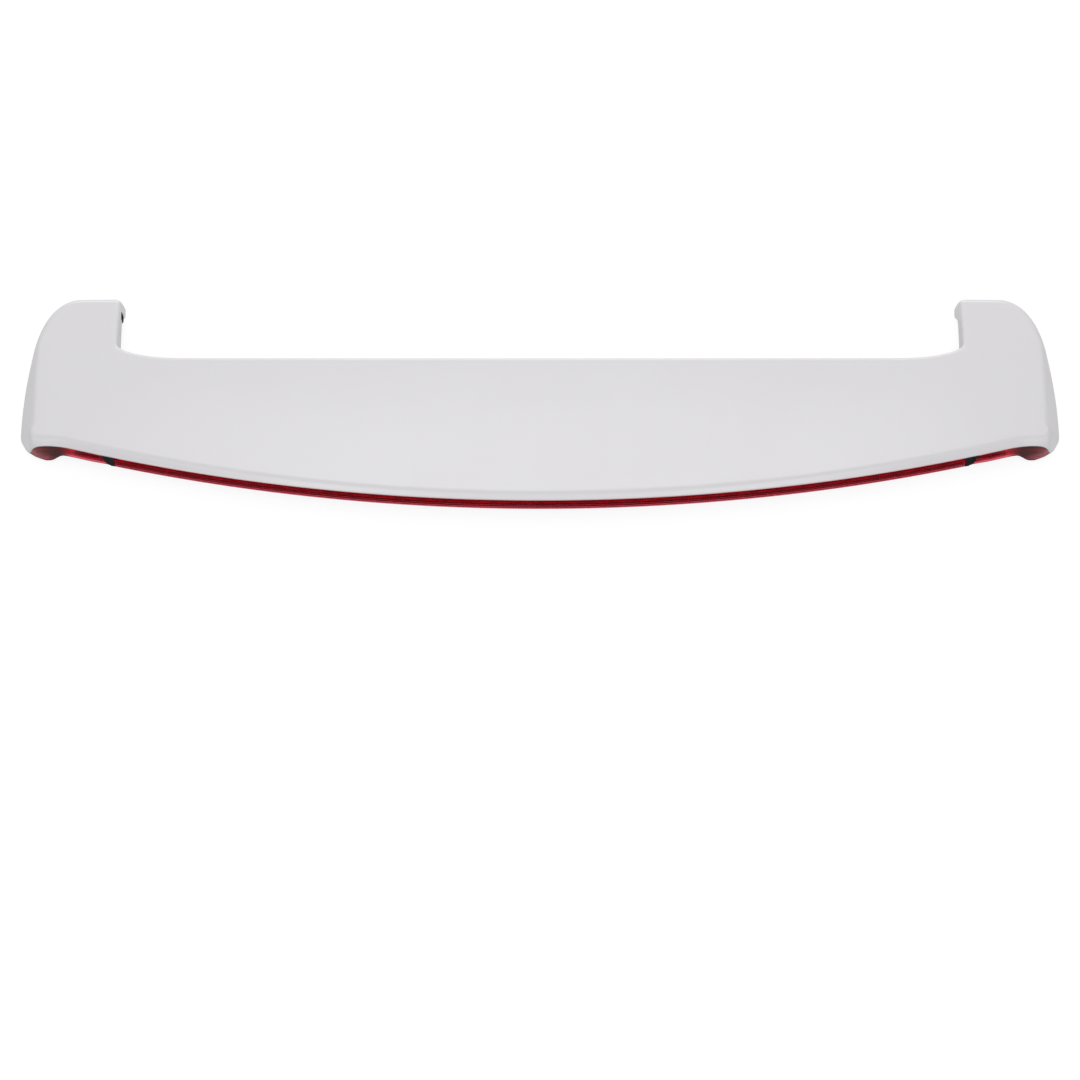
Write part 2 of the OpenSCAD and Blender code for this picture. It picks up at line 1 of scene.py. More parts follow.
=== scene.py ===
"""Looks of a car's rear roof spoiler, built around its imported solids."""
import math
import bpy
import bmesh
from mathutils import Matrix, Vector


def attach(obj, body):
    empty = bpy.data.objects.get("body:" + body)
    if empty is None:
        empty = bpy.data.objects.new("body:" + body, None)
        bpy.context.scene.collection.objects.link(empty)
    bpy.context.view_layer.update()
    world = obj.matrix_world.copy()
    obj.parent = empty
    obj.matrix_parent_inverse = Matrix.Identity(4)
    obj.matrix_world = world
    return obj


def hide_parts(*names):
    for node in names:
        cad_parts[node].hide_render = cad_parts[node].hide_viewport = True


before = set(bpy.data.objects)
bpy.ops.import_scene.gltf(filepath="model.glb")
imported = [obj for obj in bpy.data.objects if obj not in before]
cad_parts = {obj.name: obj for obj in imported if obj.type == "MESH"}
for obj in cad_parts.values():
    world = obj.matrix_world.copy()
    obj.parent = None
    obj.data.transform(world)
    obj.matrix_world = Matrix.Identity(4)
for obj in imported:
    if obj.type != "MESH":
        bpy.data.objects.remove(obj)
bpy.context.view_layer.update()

# Sizes of the part in millimetres, as in its source but for a narrower bevel and a later fall of the lip
SPAN, DEPTH, LEG_W, LEG_LEN = 1200, 256, 112, 84
CROWN_Z, CROWN_SIDE, CROWN_LEN, CROWN_Y = 61, 9, 2.5, -24
LE_BOW, FILLET_X, FILLET_Y = 2, 78, 20
INNER_ROUND, FRONT_ROUND, FRONT_RAKE, TOE_R, TOE_FLARE = 4, 4, 9, 5, 0.5
LIP_R, LIP_Z, LIP_T, BEVEL_W = 2265, 51, 2.5, 6.6
SIDE_W, SIDE_EDGE_Z, CORNER_R, SIDE_R, NOSE_W, NOSE_LEN = 20, 14, 20, 500, 60, 88
WALL, COVER_T, PLAY, LE_UNDER_Z, LEG_UNDER_Z, PAD_T = 3, 2.5, 0.3, 44, 22, 2
TILT, LAMP_H, LENS_BULGE, LENS_T, FLANGE = math.radians(7), 21, 1.3, 2.5, 7
JOINT_X, SEAL_W, HOUSING_D, HOUSING_T, LED_N, LED_END_N = 493.5, 12, 20, 2, 36, 3
INSERT_SPAN, INSERT_PITCH, INSERT_BACK = 1112, 70, 36
INSERT_BORE_R, INSERT_R, INSERT_H, SCREW_R, SCREW_HEAD_R = 2.5, 4.5, 13, 1.5, 3.2
TAIL_BACK, TAIL_EASE, FALL_START, FALL_END, TAIL_FALL, FALL_POWER = 64, 30, 48, 12, 29, 6
WING_START, WING_RUN, WING_SPLAY = 58, 22, 0.25
MM = 0.001
COS_T, SIN_T = math.cos(TILT), math.sin(TILT)


def lerp(a, b, t):
    return a + (b - a) * t


def clamp(t):
    return min(1.0, max(0.0, t))


def ease(t):
    t = clamp(t)
    return t * t * (3 - 2 * t)


def steps(n):
    return [i / n for i in range(n)]


# Plan lines
FRONT_Y = DEPTH / 2
LE_Y = FRONT_Y - LEG_LEN
INNER_X = SPAN / 2 - LEG_W
FILLET_START = INNER_X - FILLET_X
LENS_TOP = -(LIP_T + PLAY)
LENS_BOTTOM = LENS_TOP - LAMP_H
LENS_CURVE = [(0, 0), (0.55, 0.12), (0.85, 0.3), (1, 0.5), (1, 0.72), (0.9, 0.88), (0.55, 0.97), (0.1, 1)]
LENS_PROUD = max(COS_T * LENS_BULGE * p - SIN_T * lerp(LENS_TOP, LENS_BOTTOM, q) for p, q in LENS_CURVE)
LIP_Y = LENS_PROUD - DEPTH / 2
TAIL_X = SPAN / 2 - TAIL_BACK
FALL_X, TIP_X = SPAN / 2 - FALL_START, SPAN / 2 - FALL_END
FOOT_LEN, FOOT_FLAT, SIDE_ROUNDNESS = 13, 12, 0.35
CREASE_X = SPAN / 2 - SIDE_W
LENS_TURN, LENS_TURN_FADE, CORNER_DIP = -66, 7, 3
TOE_TURNS = (11.25, 22.5, 33.75, 45)


def arc_rise(x):
    """How far the lip's arc has curved forward at a place across the car."""
    return LIP_R - math.sqrt(LIP_R * LIP_R - x * x)


def lip_slope(x):
    """Slope of the lip in plan. It eases to none near the corner."""
    m = min(x, TAIL_X)
    return COS_T * m / math.sqrt(LIP_R * LIP_R - m * m) * (1 - clamp((x - TAIL_X) / TAIL_EASE))


def lip_line(x):
    """Place of the lip along the car."""
    if x <= TAIL_X:
        return LIP_Y + COS_T * arc_rise(x)
    e = min(x - TAIL_X, TAIL_EASE)
    return lip_line(TAIL_X) + lip_slope(TAIL_X) * (e - e * e / (2 * TAIL_EASE))


def lip_height(x):
    """Height of the lip, which falls away towards the corner."""
    fall = TAIL_FALL * clamp((x - FALL_X) / (TIP_X - FALL_X)) ** FALL_POWER
    return LIP_Z - SIN_T * arc_rise(min(x, TAIL_X + TAIL_EASE / 2)) - fall


TAIL_Y = lip_line(TAIL_X + TAIL_EASE)
CORNER_C = (SPAN / 2 - CORNER_R, TAIL_Y + CORNER_R)
SIDE_C = (SPAN / 2 - SIDE_R, CORNER_C[1])


def nose_turn(a):
    """Turn on the front corner's ellipse where it runs as the side arc does at a."""
    return math.atan(NOSE_LEN / NOSE_W * math.tan(a))


# The side arc ends where the front corner's curve carries on in the same direction. A few rounds settle it
SIDE_END = math.radians(12)
for _ in range(8):
    SIDE_END = math.asin((FRONT_Y - NOSE_LEN * (1 - math.sin(nose_turn(SIDE_END))) - SIDE_C[1]) / SIDE_R)
NOSE_C = (SIDE_C[0] + SIDE_R * math.cos(SIDE_END) - NOSE_W * math.cos(nose_turn(SIDE_END)),
          FRONT_Y - NOSE_LEN)


def top_z(x, y):
    """Height of the crowned top."""
    return CROWN_Z - CROWN_SIDE * (x / (SPAN / 2)) ** 2 - CROWN_LEN * ((y - CROWN_Y) / 100) ** 2


def foot(y):
    """How far the underside has come down to the front feet."""
    return ease((y - FRONT_Y + FOOT_FLAT + FOOT_LEN) / FOOT_LEN)


def under_z(x, y):
    """Height of the underside: the blade, the wings that come down at the sides and the front feet."""
    x = abs(x)
    rear, front = lip_line(x), lerp(LE_UNDER_Z, LEG_UNDER_Z, ease((x - FILLET_START) / FILLET_X))
    lamp = LIP_Z + COS_T * LENS_BOTTOM - SIN_T * (arc_rise(min(x, TAIL_X)) + FLANGE)
    blade = lerp(lamp, front, clamp((y - rear) / (LE_Y - rear)))
    wing = ease((x - SPAN / 2 + WING_START + WING_SPLAY * (y - TAIL_Y)) / WING_RUN)
    return lerp(blade, PAD_T, max(wing, foot(y)))


def raked(p):
    """Leans the front walls of the legs back towards the top."""
    x, y, z = p
    lean = ease((y - NOSE_C[1]) / (NOSE_LEN - FRONT_RAKE)) * clamp((z - PAD_T) / (top_z(x, y) - PAD_T)) ** 2
    return x, y - FRONT_RAKE * lean, z


def side_band(a):
    """Width of the rounded shoulder along the side, up to its straight crease."""
    return (SIDE_C[0] + SIDE_R * math.cos(a) - CREASE_X) / math.cos(a)


def on_arc(centre, r, a):
    return centre[0] + r * math.cos(a), centre[1] + r * math.sin(a)


class Station:
    """One place on the outline: its point, its inward normal and the band that runs along it there."""

    def __init__(self, x, y, nx, ny, band=0.0, roundness=0.0, edge=0.0, foot_z=0.0, lamp=0.0):
        size = math.hypot(nx, ny)
        self.x, self.y, self.nx, self.ny = x, y, nx / size, ny / size
        self.band, self.roundness, self.edge, self.foot_z, self.lamp = band, roundness, edge, foot_z, lamp

    def inward(self, d):
        return self.x + self.nx * d, self.y + self.ny * d


def fillet_station(t):
    """A place on the hollow curve from the leading edge into a leg."""
    a = math.pi / 2 * t
    return Station(FILLET_START + FILLET_X * math.sin(a), LE_Y + LE_BOW + FILLET_Y * (1 - math.cos(a)),
                   FILLET_Y * math.sin(a), -FILLET_X * math.cos(a))


def wall_station(t):
    """A place on the inner wall of a leg."""
    y = lerp(LE_Y + LE_BOW + FILLET_Y, FRONT_Y - TOE_R, t)
    return Station(INNER_X - TOE_FLARE * foot(y + FOOT_LEN / 2), y, 1, 0)


def lip_station(x):
    """A place on the lip."""
    return Station(x, lip_line(x), -lip_slope(x), 1, BEVEL_W, 0, lip_height(x), lip_height(x) - LIP_T, 1)


def corner_station(degrees):
    """A place on the rear corner, from the lip at -90 degrees to the side at 0."""
    a, k = math.radians(degrees), clamp((degrees + 90) / 90)
    x, y = on_arc(CORNER_C, CORNER_R, a)
    side = ease((degrees - LENS_TURN) / LENS_TURN_FADE)
    edge, band = lerp(lip_height(x), SIDE_EDGE_Z, side), lerp(SIDE_W, BEVEL_W, (1 - k) ** 2)
    return Station(x, y, -math.cos(a), -math.sin(a), band, SIDE_ROUNDNESS * ease(k),
                   max(edge, SIDE_EDGE_Z - CORNER_DIP * (1 - k)), lerp(edge - LIP_T, PAD_T, side), 1 - side)


def side_station(t):
    """A place on the side arc."""
    x, y = on_arc(SIDE_C, SIDE_R, SIDE_END * t)
    return Station(x, y, SIDE_C[0] - x, SIDE_C[1] - y, side_band(SIDE_END * t), SIDE_ROUNDNESS, SIDE_EDGE_Z,
                   PAD_T)


def nose_station(t):
    """A place on the front corner."""
    k, a = ease(t), lerp(nose_turn(SIDE_END), math.pi / 2, t)
    x, y = NOSE_C[0] + NOSE_W * math.cos(a), NOSE_C[1] + NOSE_LEN * math.sin(a)
    return Station(x, y, -NOSE_LEN * math.cos(a), -NOSE_W * math.sin(a),
                   lerp(side_band(SIDE_END), FRONT_ROUND, k), lerp(SIDE_ROUNDNESS, 1, k),
                   lerp(SIDE_EDGE_Z, top_z(x, y) - FRONT_ROUND, k), PAD_T)


def front_station(t):
    """A place on the front wall of a leg."""
    x = lerp(NOSE_C[0], INNER_X - TOE_FLARE + TOE_R, t)
    return Station(x, FRONT_Y, 0, -1, FRONT_ROUND, 1, top_z(x, FRONT_Y) - FRONT_ROUND, PAD_T)


def toe_pair(degrees):
    """The two stations that meet at the middle of the corner between a leg's inner and front walls."""
    a, cx, cy = math.radians(degrees), INNER_X - TOE_FLARE + TOE_R, FRONT_Y - TOE_R
    c, s = math.cos(a), math.sin(a)
    x, y = cx - TOE_R * s, cy + TOE_R * c
    return (Station(cx - TOE_R * c, cy + TOE_R * s, c, -s),
            Station(x, y, s, -c, FRONT_ROUND, 1, top_z(x, y) - FRONT_ROUND, PAD_T))


# Pairs of stations along one half, from the middle of the car to the toe of the leg
N_BLADE, N_TAIL, N_CORNER, N_SIDE, N_NOSE, N_FRONT = 60, 28, 20, 16, 26, 8
OUTER = ([lip_station(JOINT_X * t) for t in steps(N_BLADE)]
         + [lip_station(lerp(JOINT_X, CORNER_C[0], t)) for t in steps(N_TAIL)]
         + [corner_station(90 * (t - 1)) for t in steps(N_CORNER)]
         + [side_station(t) for t in steps(N_SIDE)] + [nose_station(t) for t in steps(N_NOSE)]
         + [front_station(t) for t in steps(N_FRONT)] + [front_station(1)])
N_WALL = N_SIDE + N_NOSE + N_FRONT
INNER = ([Station(FILLET_START * t, LE_Y + LE_BOW * t * t, 0, -1) for t in steps(N_BLADE)]
         + [fillet_station(t) for t in steps(N_TAIL + N_CORNER)]
         + [wall_station(t) for t in steps(N_WALL)] + [wall_station(1)])
for degrees in TOE_TURNS:
    toe = toe_pair(degrees)
    INNER.append(toe[0])
    OUTER.append(toe[1])


# Mesh making
MERGE, ROUND_SIDES = 0.004 * MM, 48


def add_mesh(name, points, faces, smooth=35):
    """A piece from points in millimetres. Faces that meet at more than the smooth angle keep a sharp edge."""
    mesh = bpy.data.meshes.new(name)
    mesh.from_pydata([[c * MM for c in p] for p in points], [], faces)
    bm = bmesh.new()
    bm.from_mesh(mesh)
    bmesh.ops.remove_doubles(bm, verts=bm.verts, dist=MERGE)
    bmesh.ops.dissolve_degenerate(bm, edges=bm.edges, dist=MERGE / 2)
    bmesh.ops.recalc_face_normals(bm, faces=bm.faces)
    if bm.calc_volume(signed=True) < 0:
        bmesh.ops.reverse_faces(bm, faces=bm.faces)
    bm.to_mesh(mesh)
    bm.free()
    mesh.shade_smooth()
    mesh.set_sharp_from_angle(angle=math.radians(smooth))
    piece = bpy.data.objects.new(name, mesh)
    bpy.context.scene.collection.objects.link(piece)
    return piece


def dress(piece, slot, material, *nodes):
    """Rides the piece on the part, gives it its material and hides the solids it stands for."""
    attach(piece, "root")
    if nodes:
        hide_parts(*nodes)
    piece.data.materials.clear()
    piece.data.materials.append(material)


def grid_faces(rows, columns, start=0, closed=False, turned=False):
    """Quads between neighbouring rows of points."""
    faces = []
    for i in range(rows - 1):
        for j in range(columns if closed else columns - 1):
            a, b = start + i * columns + j, start + i * columns + (j + 1) % columns
            quad = [a, b, b + columns, a + columns]
            faces.append(quad[::-1] if turned else quad)
    return faces


def loft(rows):
    """Points and faces of a closed tube through rows of points, with its ends closed."""
    n, last = len(rows[0]), (len(rows) - 1) * len(rows[0])
    caps = [list(range(n))[::-1], list(range(last, last + n))]
    return [p for row in rows for p in row], grid_faces(len(rows), n, closed=True) + caps


def tube(rows):
    """Points and faces of a ring whose last row joins its first."""
    points, faces = [p for row in rows for p in row], grid_faces(len(rows), len(rows[0]), closed=True)
    n, last = len(rows[0]), (len(rows) - 1) * len(rows[0])
    return points, faces + [[last + j, last + (j + 1) % n, (j + 1) % n, j] for j in range(n)]


def both_halves(rows):
    """Rows of the right half, with their mirror images before them."""
    return [[(-x, y, z) for x, y, z in row] for row in rows[:0:-1]] + rows


def joined(parts):
    """Points and faces of several lofts in one."""
    points, faces = [], []
    for more_points, more_faces in parts:
        faces += [[v + len(points) for v in f] for f in more_faces]
        points += more_points
    return points, faces


def circle(r, turns, start=0.0):
    """Points round a circle, the first one at the start's share of a step."""
    angles = [2 * math.pi * (k + start) / turns for k in range(turns)]
    return [(r * math.cos(a), r * math.sin(a)) for a in angles]


def lathe(profile, turns, x, y, z):
    """Points and faces of a turned form at a place. Its profile is given as (radius, height)."""
    return tube([[(x + r * cx, y + r * cy, z + h) for r, h in profile] for cx, cy in circle(1, turns)])


def cut(piece, cutters, smooth=35):
    """Takes closed forms, given as points and faces, out of a piece."""
    tool = add_mesh("cutter", *joined(cutters))
    modifier = piece.modifiers.new("holes", "BOOLEAN")
    modifier.object, modifier.operation, modifier.solver = tool, "DIFFERENCE", "EXACT"
    bpy.context.view_layer.update()
    done = piece.evaluated_get(bpy.context.evaluated_depsgraph_get())
    mesh = bpy.data.meshes.new_from_object(done)
    piece.modifiers.clear()
    piece.data = mesh
    mesh.shade_smooth()
    mesh.set_sharp_from_angle(angle=math.radians(smooth))
    bpy.data.objects.remove(tool)


def rod(x, y, low, high, r):
    """A closed upright cylinder as points and faces."""
    return loft([[(x + cx, y + cy, z) for cx, cy in circle(r, ROUND_SIDES)] for z in (low, high)])


# Finishes
def socket_value(node, name, value):
    """Sets an input. A colour of three numbers gets an alpha of 1."""
    node.inputs[name].default_value = (*value, 1) if isinstance(value, tuple) and len(value) == 3 else value


def finish(name, **values):
    """A material with its node tree and its principled shader, whose inputs get the values."""
    mat = bpy.data.materials.new(name)
    mat.use_nodes = True
    shader = mat.node_tree.nodes["Principled BSDF"]
    for key, value in values.items():
        socket_value(shader, key.replace("_", " ").title().replace("Ior", "IOR"), value)
    return mat, mat.node_tree, shader


def node(tree, kind, inputs=None, **settings):
    """Adds a node. Inputs are values or the sockets that feed them."""
    made = tree.nodes.new(kind)
    for key, value in settings.items():
        setattr(made, key, value)
    for key, value in (inputs or {}).items():
        if isinstance(value, bpy.types.NodeSocket):
            tree.links.new(value, made.inputs[key])
        else:
            socket_value(made, key, value)
    return made


def maths(tree, operation, *inputs):
    """The result of a math node."""
    return node(tree, "ShaderNodeMath", dict(enumerate(inputs)), operation=operation).outputs[0]


def ramp(tree, value, low, high, start=0.0, end=1.0):
    """Carries a number from one range over to another and holds it at the ends."""
    return node(tree, "ShaderNodeMapRange", {"Value": value, "From Min": low, "From Max": high,
                                             "To Min": start, "To Max": end}).outputs["Result"]


def blend(tree, share, first, second):
    """A mix of two colours."""
    return node(tree, "ShaderNodeMix", {0: share, 6: first, 7: second}, data_type="RGBA").outputs[2]


def mixed(tree, share, first, second):
    """A mix of two shaders."""
    return node(tree, "ShaderNodeMixShader", {0: share, 1: first, 2: second}).outputs[0]


def own_place(tree):
    """The coordinates of the object that wears the material."""
    return node(tree, "ShaderNodeTexCoord").outputs["Object"]


def relief(tree, shader, height, strength, distance):
    """Gives the shader a bumped surface."""
    bump = node(tree, "ShaderNodeBump", {"Height": height, "Strength": strength, "Distance": distance})
    tree.links.new(bump.outputs["Normal"], shader.inputs["Normal"])


def effect(name, inputs, outputs):
    """An empty node group with named number and colour sockets."""
    group = bpy.data.node_groups.new(name, "ShaderNodeTree")
    for label, value in inputs.items():
        kind = "NodeSocketColor" if isinstance(value, tuple) else "NodeSocketFloat"
        socket = group.interface.new_socket(label, in_out="INPUT", socket_type=kind)
        socket.default_value = (*value, 1) if isinstance(value, tuple) else value
    for label, kind in outputs.items():
        group.interface.new_socket(label, in_out="OUTPUT", socket_type=kind)
    return group, group.nodes.new("NodeGroupInput").outputs, group.nodes.new("NodeGroupOutput").inputs


def place_effect(tree, group, **values):
    """Adds a node group with its inputs and returns its outputs."""
    inputs = {key.replace("_", " ").capitalize(): value for key, value in values.items()}
    return node(tree, "ShaderNodeGroup", inputs, node_tree=group).outputs


def make_grain():
    """Fine unevenness of a surface: its height, and a mask of soft spots over it."""
    group, given, out = effect("surface grain", {"Scale": 900.0, "Depth": 0.3, "Spot scale": 18.0}, {
        "Height": "NodeSocketFloat", "Spots": "NodeSocketFloat"})
    place = own_place(group)
    fine = node(group, "ShaderNodeTexNoise", {"Vector": place, "Scale": given["Scale"], "Detail": 3.0,
                                              "Roughness": 0.55})
    spots = node(group, "ShaderNodeTexNoise", {"Vector": place, "Scale": given["Spot scale"], "Detail": 5.0,
                                               "Roughness": 0.6})
    group.links.new(maths(group, "MULTIPLY", fine.outputs["Fac"], given["Depth"]), out["Height"])
    group.links.new(spots.outputs["Fac"], out["Spots"])
    return group


def make_tint():
    """Mixes a base colour with a second one over soft spots."""
    group, given, out = effect("spot tint", {"Base": (0.8, 0.8, 0.8), "Second": (0.7, 0.7, 0.7), "Spots": 0.5,
                                             "Amount": 0.2}, {"Color": "NodeSocketColor"})
    share = maths(group, "MULTIPLY", ramp(group, given["Spots"], 0.35, 0.7), given["Amount"])
    group.links.new(blend(group, share, given["Base"], given["Second"]), out["Color"])
    return group


GRAIN, TINT = make_grain(), make_tint()


def moulded(name, base, second, amount, scale, depth, bump, spot_scale, rough, **values):
    """A finish with a grain, a soft mottle of two colours and a roughness that follows it."""
    mat, tree, shader = finish(name, **values)
    grain = place_effect(tree, GRAIN, scale=scale, depth=depth, spot_scale=spot_scale)
    tint = place_effect(tree, TINT, base=base, second=second, amount=amount, spots=grain["Spots"])
    tree.links.new(tint["Color"], shader.inputs["Base Color"])
    tree.links.new(ramp(tree, grain["Spots"], 0.3, 0.7, *rough), shader.inputs["Roughness"])
    relief(tree, shader, grain["Height"], bump, 0.0004)
    return mat


DEEP_RED, SPOT_RED = (0.62, 0.012, 0.035), (0.5, 0.006, 0.02)
# Of the next two colours, the first is a painted lit rim and the second painted shade over the end lenses'
# pods; neither is the plastic's own colour
LIT_RIM_RED, POD_SHADE_RED = (0.93, 0.15, 0.21), (0.2, 0.02, 0.032)
# In metres: the painted lit rim above the lens's lower edge, and where painted shade comes and thins across
# the end lenses' pods
LIT_RIM_FADE, POD_SHADE_IN, POD_SHADE_OUT = (0.007, 0.005), (0.538, 0.552), (0.566, 0.58)
POD_SHADE_MOST, POD_SHADE_KEPT = 0.93, 0.55


def red_lens():
    """Clear red moulded plastic, with a painted lit rim and painted shade on the end pods. Its red comes from
    the body of the lens.
    """
    mat, tree, shader = finish("red lens", transmission_weight=1.0, ior=1.49)
    grain = place_effect(tree, GRAIN, scale=260.0, depth=0.4, spot_scale=30.0)
    tint = place_effect(tree, TINT, base=DEEP_RED, second=SPOT_RED, amount=0.6, spots=grain["Spots"])
    parts = node(tree, "ShaderNodeSeparateXYZ", {0: own_place(tree)}).outputs
    # The tilted lip falls along its arc, so a height is counted from a line that falls with it
    square = maths(tree, "MULTIPLY", parts["X"], parts["X"])
    height = maths(tree, "MULTIPLY_ADD", square, SIN_T / (2 * LIP_R * MM), parts["Z"])
    low = (LIP_Z + COS_T * LENS_BOTTOM) * MM
    # Painted lit rim: a lighter pink just above the lens's lower edge, standing in for floor light shining
    # through it
    body = blend(tree, ramp(tree, height, *(low + rise for rise in LIT_RIM_FADE)), tint["Color"], LIT_RIM_RED)
    # Painted shade: the end lenses turn a darker red over their pods, standing in for the shaded inside seen
    # through them
    across = maths(tree, "ABSOLUTE", parts["X"])
    pod_shade = maths(tree, "MULTIPLY", ramp(tree, across, *POD_SHADE_IN, 0.0, POD_SHADE_MOST),
                  ramp(tree, across, *POD_SHADE_OUT, 1.0, POD_SHADE_KEPT))
    tree.links.new(blend(tree, pod_shade, body, POD_SHADE_RED), shader.inputs["Base Color"])
    tree.links.new(ramp(tree, grain["Spots"], 0.0, 1.0, 0.03, 0.09), shader.inputs["Roughness"])
    relief(tree, shader, grain["Height"], 0.05, 0.0003)
    return mat


SHELL_PAINT = moulded("white shell paint", (0.80, 0.787, 0.808), (0.775, 0.757, 0.785), 0.35, 420.0, 0.5,
                      0.04, 6.0, (0.34, 0.42), coat_weight=0.5, coat_roughness=0.18)
COVER_PLASTIC = moulded("grained cover plastic", (0.60, 0.60, 0.61), (0.52, 0.52, 0.53), 0.4, 1400.0, 1.0,
                        0.5, 12.0, (0.48, 0.62))
LENS_RED = red_lens()
SEAL_BLACK = moulded("black joint block", (0.018, 0.016, 0.018), (0.035, 0.03, 0.033), 0.5, 900.0, 0.6, 0.15,
                     60.0, (0.22, 0.35), specular_ior_level=0.25)
HOUSING_BLACK = moulded("black housing", (0.02, 0.018, 0.02), (0.035, 0.032, 0.034), 0.4, 1100.0, 0.8, 0.3,
                        20.0, (0.4, 0.55))
REFLECTOR = moulded("metallised reflector", (0.75, 0.75, 0.77), (0.66, 0.66, 0.68), 0.4, 500.0, 0.3, 0.05,
                    30.0, (0.12, 0.2), metallic=1.0)
LED_RESIN = moulded("light source resin", (0.85, 0.78, 0.45), (0.75, 0.66, 0.35), 0.4, 700.0, 0.3, 0.05,
                    90.0, (0.15, 0.25))
SOCKET_NYLON = moulded("natural nylon", (0.80, 0.79, 0.74), (0.72, 0.70, 0.64), 0.4, 900.0, 0.6, 0.2, 60.0,
                       (0.4, 0.5))
SCREW_STEEL = moulded("zinc plated steel", (0.55, 0.55, 0.56), (0.42, 0.42, 0.40), 0.6, 1600.0, 0.6, 0.2,
                      150.0, (0.22, 0.4), metallic=1.0)
INSERT_BRASS = moulded("turned brass", (0.72, 0.53, 0.26), (0.55, 0.38, 0.17), 0.5, 1500.0, 0.5, 0.2, 150.0,
                       (0.2, 0.36), metallic=1.0)
RUBBER = moulded("black rubber", (0.02, 0.02, 0.02), (0.04, 0.039, 0.038), 0.5, 1200.0, 0.8, 0.3, 60.0,
                 (0.5, 0.68))


def circuit_board():
    """Green board: copper lanes under the solder mask."""
    mat, tree, shader = finish("circuit board", roughness=0.35)
    lanes = node(tree, "ShaderNodeTexBrick", {
        "Vector": own_place(tree), "Scale": 90.0, "Mortar Size": 0.03, "Color1": (0.02, 0.11, 0.045),
        "Color2": (0.025, 0.13, 0.055), "Mortar": (0.05, 0.2, 0.08)})
    tree.links.new(lanes.outputs["Color"], shader.inputs["Base Color"])
    relief(tree, shader, lanes.outputs["Fac"], 0.3, 0.0002)
    return mat


def pad_foam():
    """Closed-cell foam: small pores over a black body, each painted darker towards its middle as shade in its
    pit.
    """
    mat, tree, shader = finish("closed cell foam", roughness=0.9)
    cells = node(tree, "ShaderNodeTexVoronoi", {"Vector": own_place(tree), "Scale": 1100.0})
    pores = cells.outputs["Distance"]
    # Painted shade: the colour darkens towards each pore's middle, where the bump sinks deepest
    tint = blend(tree, ramp(tree, pores, 0.0, 0.6, 0.4, 1.0), (0.012, 0.012, 0.013), (0.045, 0.045, 0.047))
    tree.links.new(tint, shader.inputs["Base Color"])
    relief(tree, shader, pores, 0.6, 0.0005)
    return mat


BOARD, FOAM = circuit_board(), pad_foam()

# Screws, inserts and the cable slot
EAR_R, EAR_OVERLAP, EAR_END, COVER_SCREW_BACK = 4, 2.4, 8, 22
EAR_D = HOUSING_D + EAR_R - EAR_OVERLAP
EAR_X = (EAR_END - TAIL_X, *(f * JOINT_X for f in (-0.8, -0.3, 0.3, 0.8)), TAIL_X - EAR_END)
LAMP_SCREWS = [(math.copysign(lip_station(abs(x)).inward(EAR_D)[0], x), lip_station(abs(x)).inward(EAR_D)[1])
               for x in EAR_X]
COVER_SCREWS = [(f * FILLET_START, LE_Y - COVER_SCREW_BACK) for f in (-0.92, -0.32, 0.32, 0.92)]
INSERTS = [(side * INSERT_SPAN / 2, FRONT_Y - INSERT_BACK - back)
           for side in (-1, 1) for back in (0, INSERT_PITCH)]
CABLE_Y, CABLE_Z, CABLE_R, GROMMET_R = FRONT_Y - 21.5, PAD_T + 21, 3.2, 5
SLOT_RISE, SLOT_INSIDE, SLOT_OUTSIDE = 9, 14, 6


def slot_ring(x, r):
    """Outline of the upright cable slot at one place across the car."""
    return [(x, CABLE_Y + u, CABLE_Z + v + math.copysign(SLOT_RISE / 2, v))
            for u, v in circle(r, ROUND_SIDES, start=0.5)]


def cable_slot():
    """What the cable slot takes out of a wall, as points and faces."""
    return loft([slot_ring(x, GROMMET_R + PLAY)
                 for x in (-INNER_X - WALL - SLOT_INSIDE, -INNER_X + SLOT_OUTSIDE)])


# Upper shell: sections from the foot of the inner wall, over the top, to the outer foot
CREASE_SPREAD, SIDE_CREASE_SPREAD, CORNER_SPREAD, CORNER_REACH = 2.8, 3.4, 1.5, 75
LIP_CHAMFER, LIP_DROP = 0.6, 0.6
CREASE_LEAST, CREASE_SHARE, LEAN_LEAST = 0.05, 0.6, 0.2
WALL_N, ROUND_N, TOP_N, BAND_N, EDGE_N, INSIDE_N = 4, 7, 14, 12, 3, 6
OVER_CREASE = (0.9, 2.2, 4.0, 6.4)
CHAMFER_STEPS, INSIDE_STEPS, INSIDE_DROP = (0.06, 0.5, 0.94, 1), (0.8, 0.6, 0.4, 0.25, 0.12, 0.04, 0), 0.4
SHELL_SMOOTH, COVER_N = 24, 36


def band_z(s, d, place=None):
    """Height of the top surface at a distance inward from the outline, with the band's crease eased."""
    top = top_z(*(place or s.inward(d)))
    rise = top - s.edge
    slope = (1 - s.roundness) * rise / s.band
    if d <= s.band:
        q = clamp(d / s.band)
        band = s.edge + rise * lerp(q, math.sqrt(1 - (1 - q) ** 2), s.roundness)
    else:
        band = top + slope * (d - s.band)
    spread = lerp(CREASE_SPREAD, SIDE_CREASE_SPREAD, clamp(s.roundness / SIDE_ROUNDNESS))
    spread += CORNER_SPREAD * ease(1 - math.hypot(SPAN / 2 - s.x, TAIL_Y - s.y) / CORNER_REACH)
    k = slope * spread
    if k < CREASE_LEAST:
        return min(band, top)
    return min(band, top) - max(k - abs(band - top), 0) ** 2 / (4 * k)


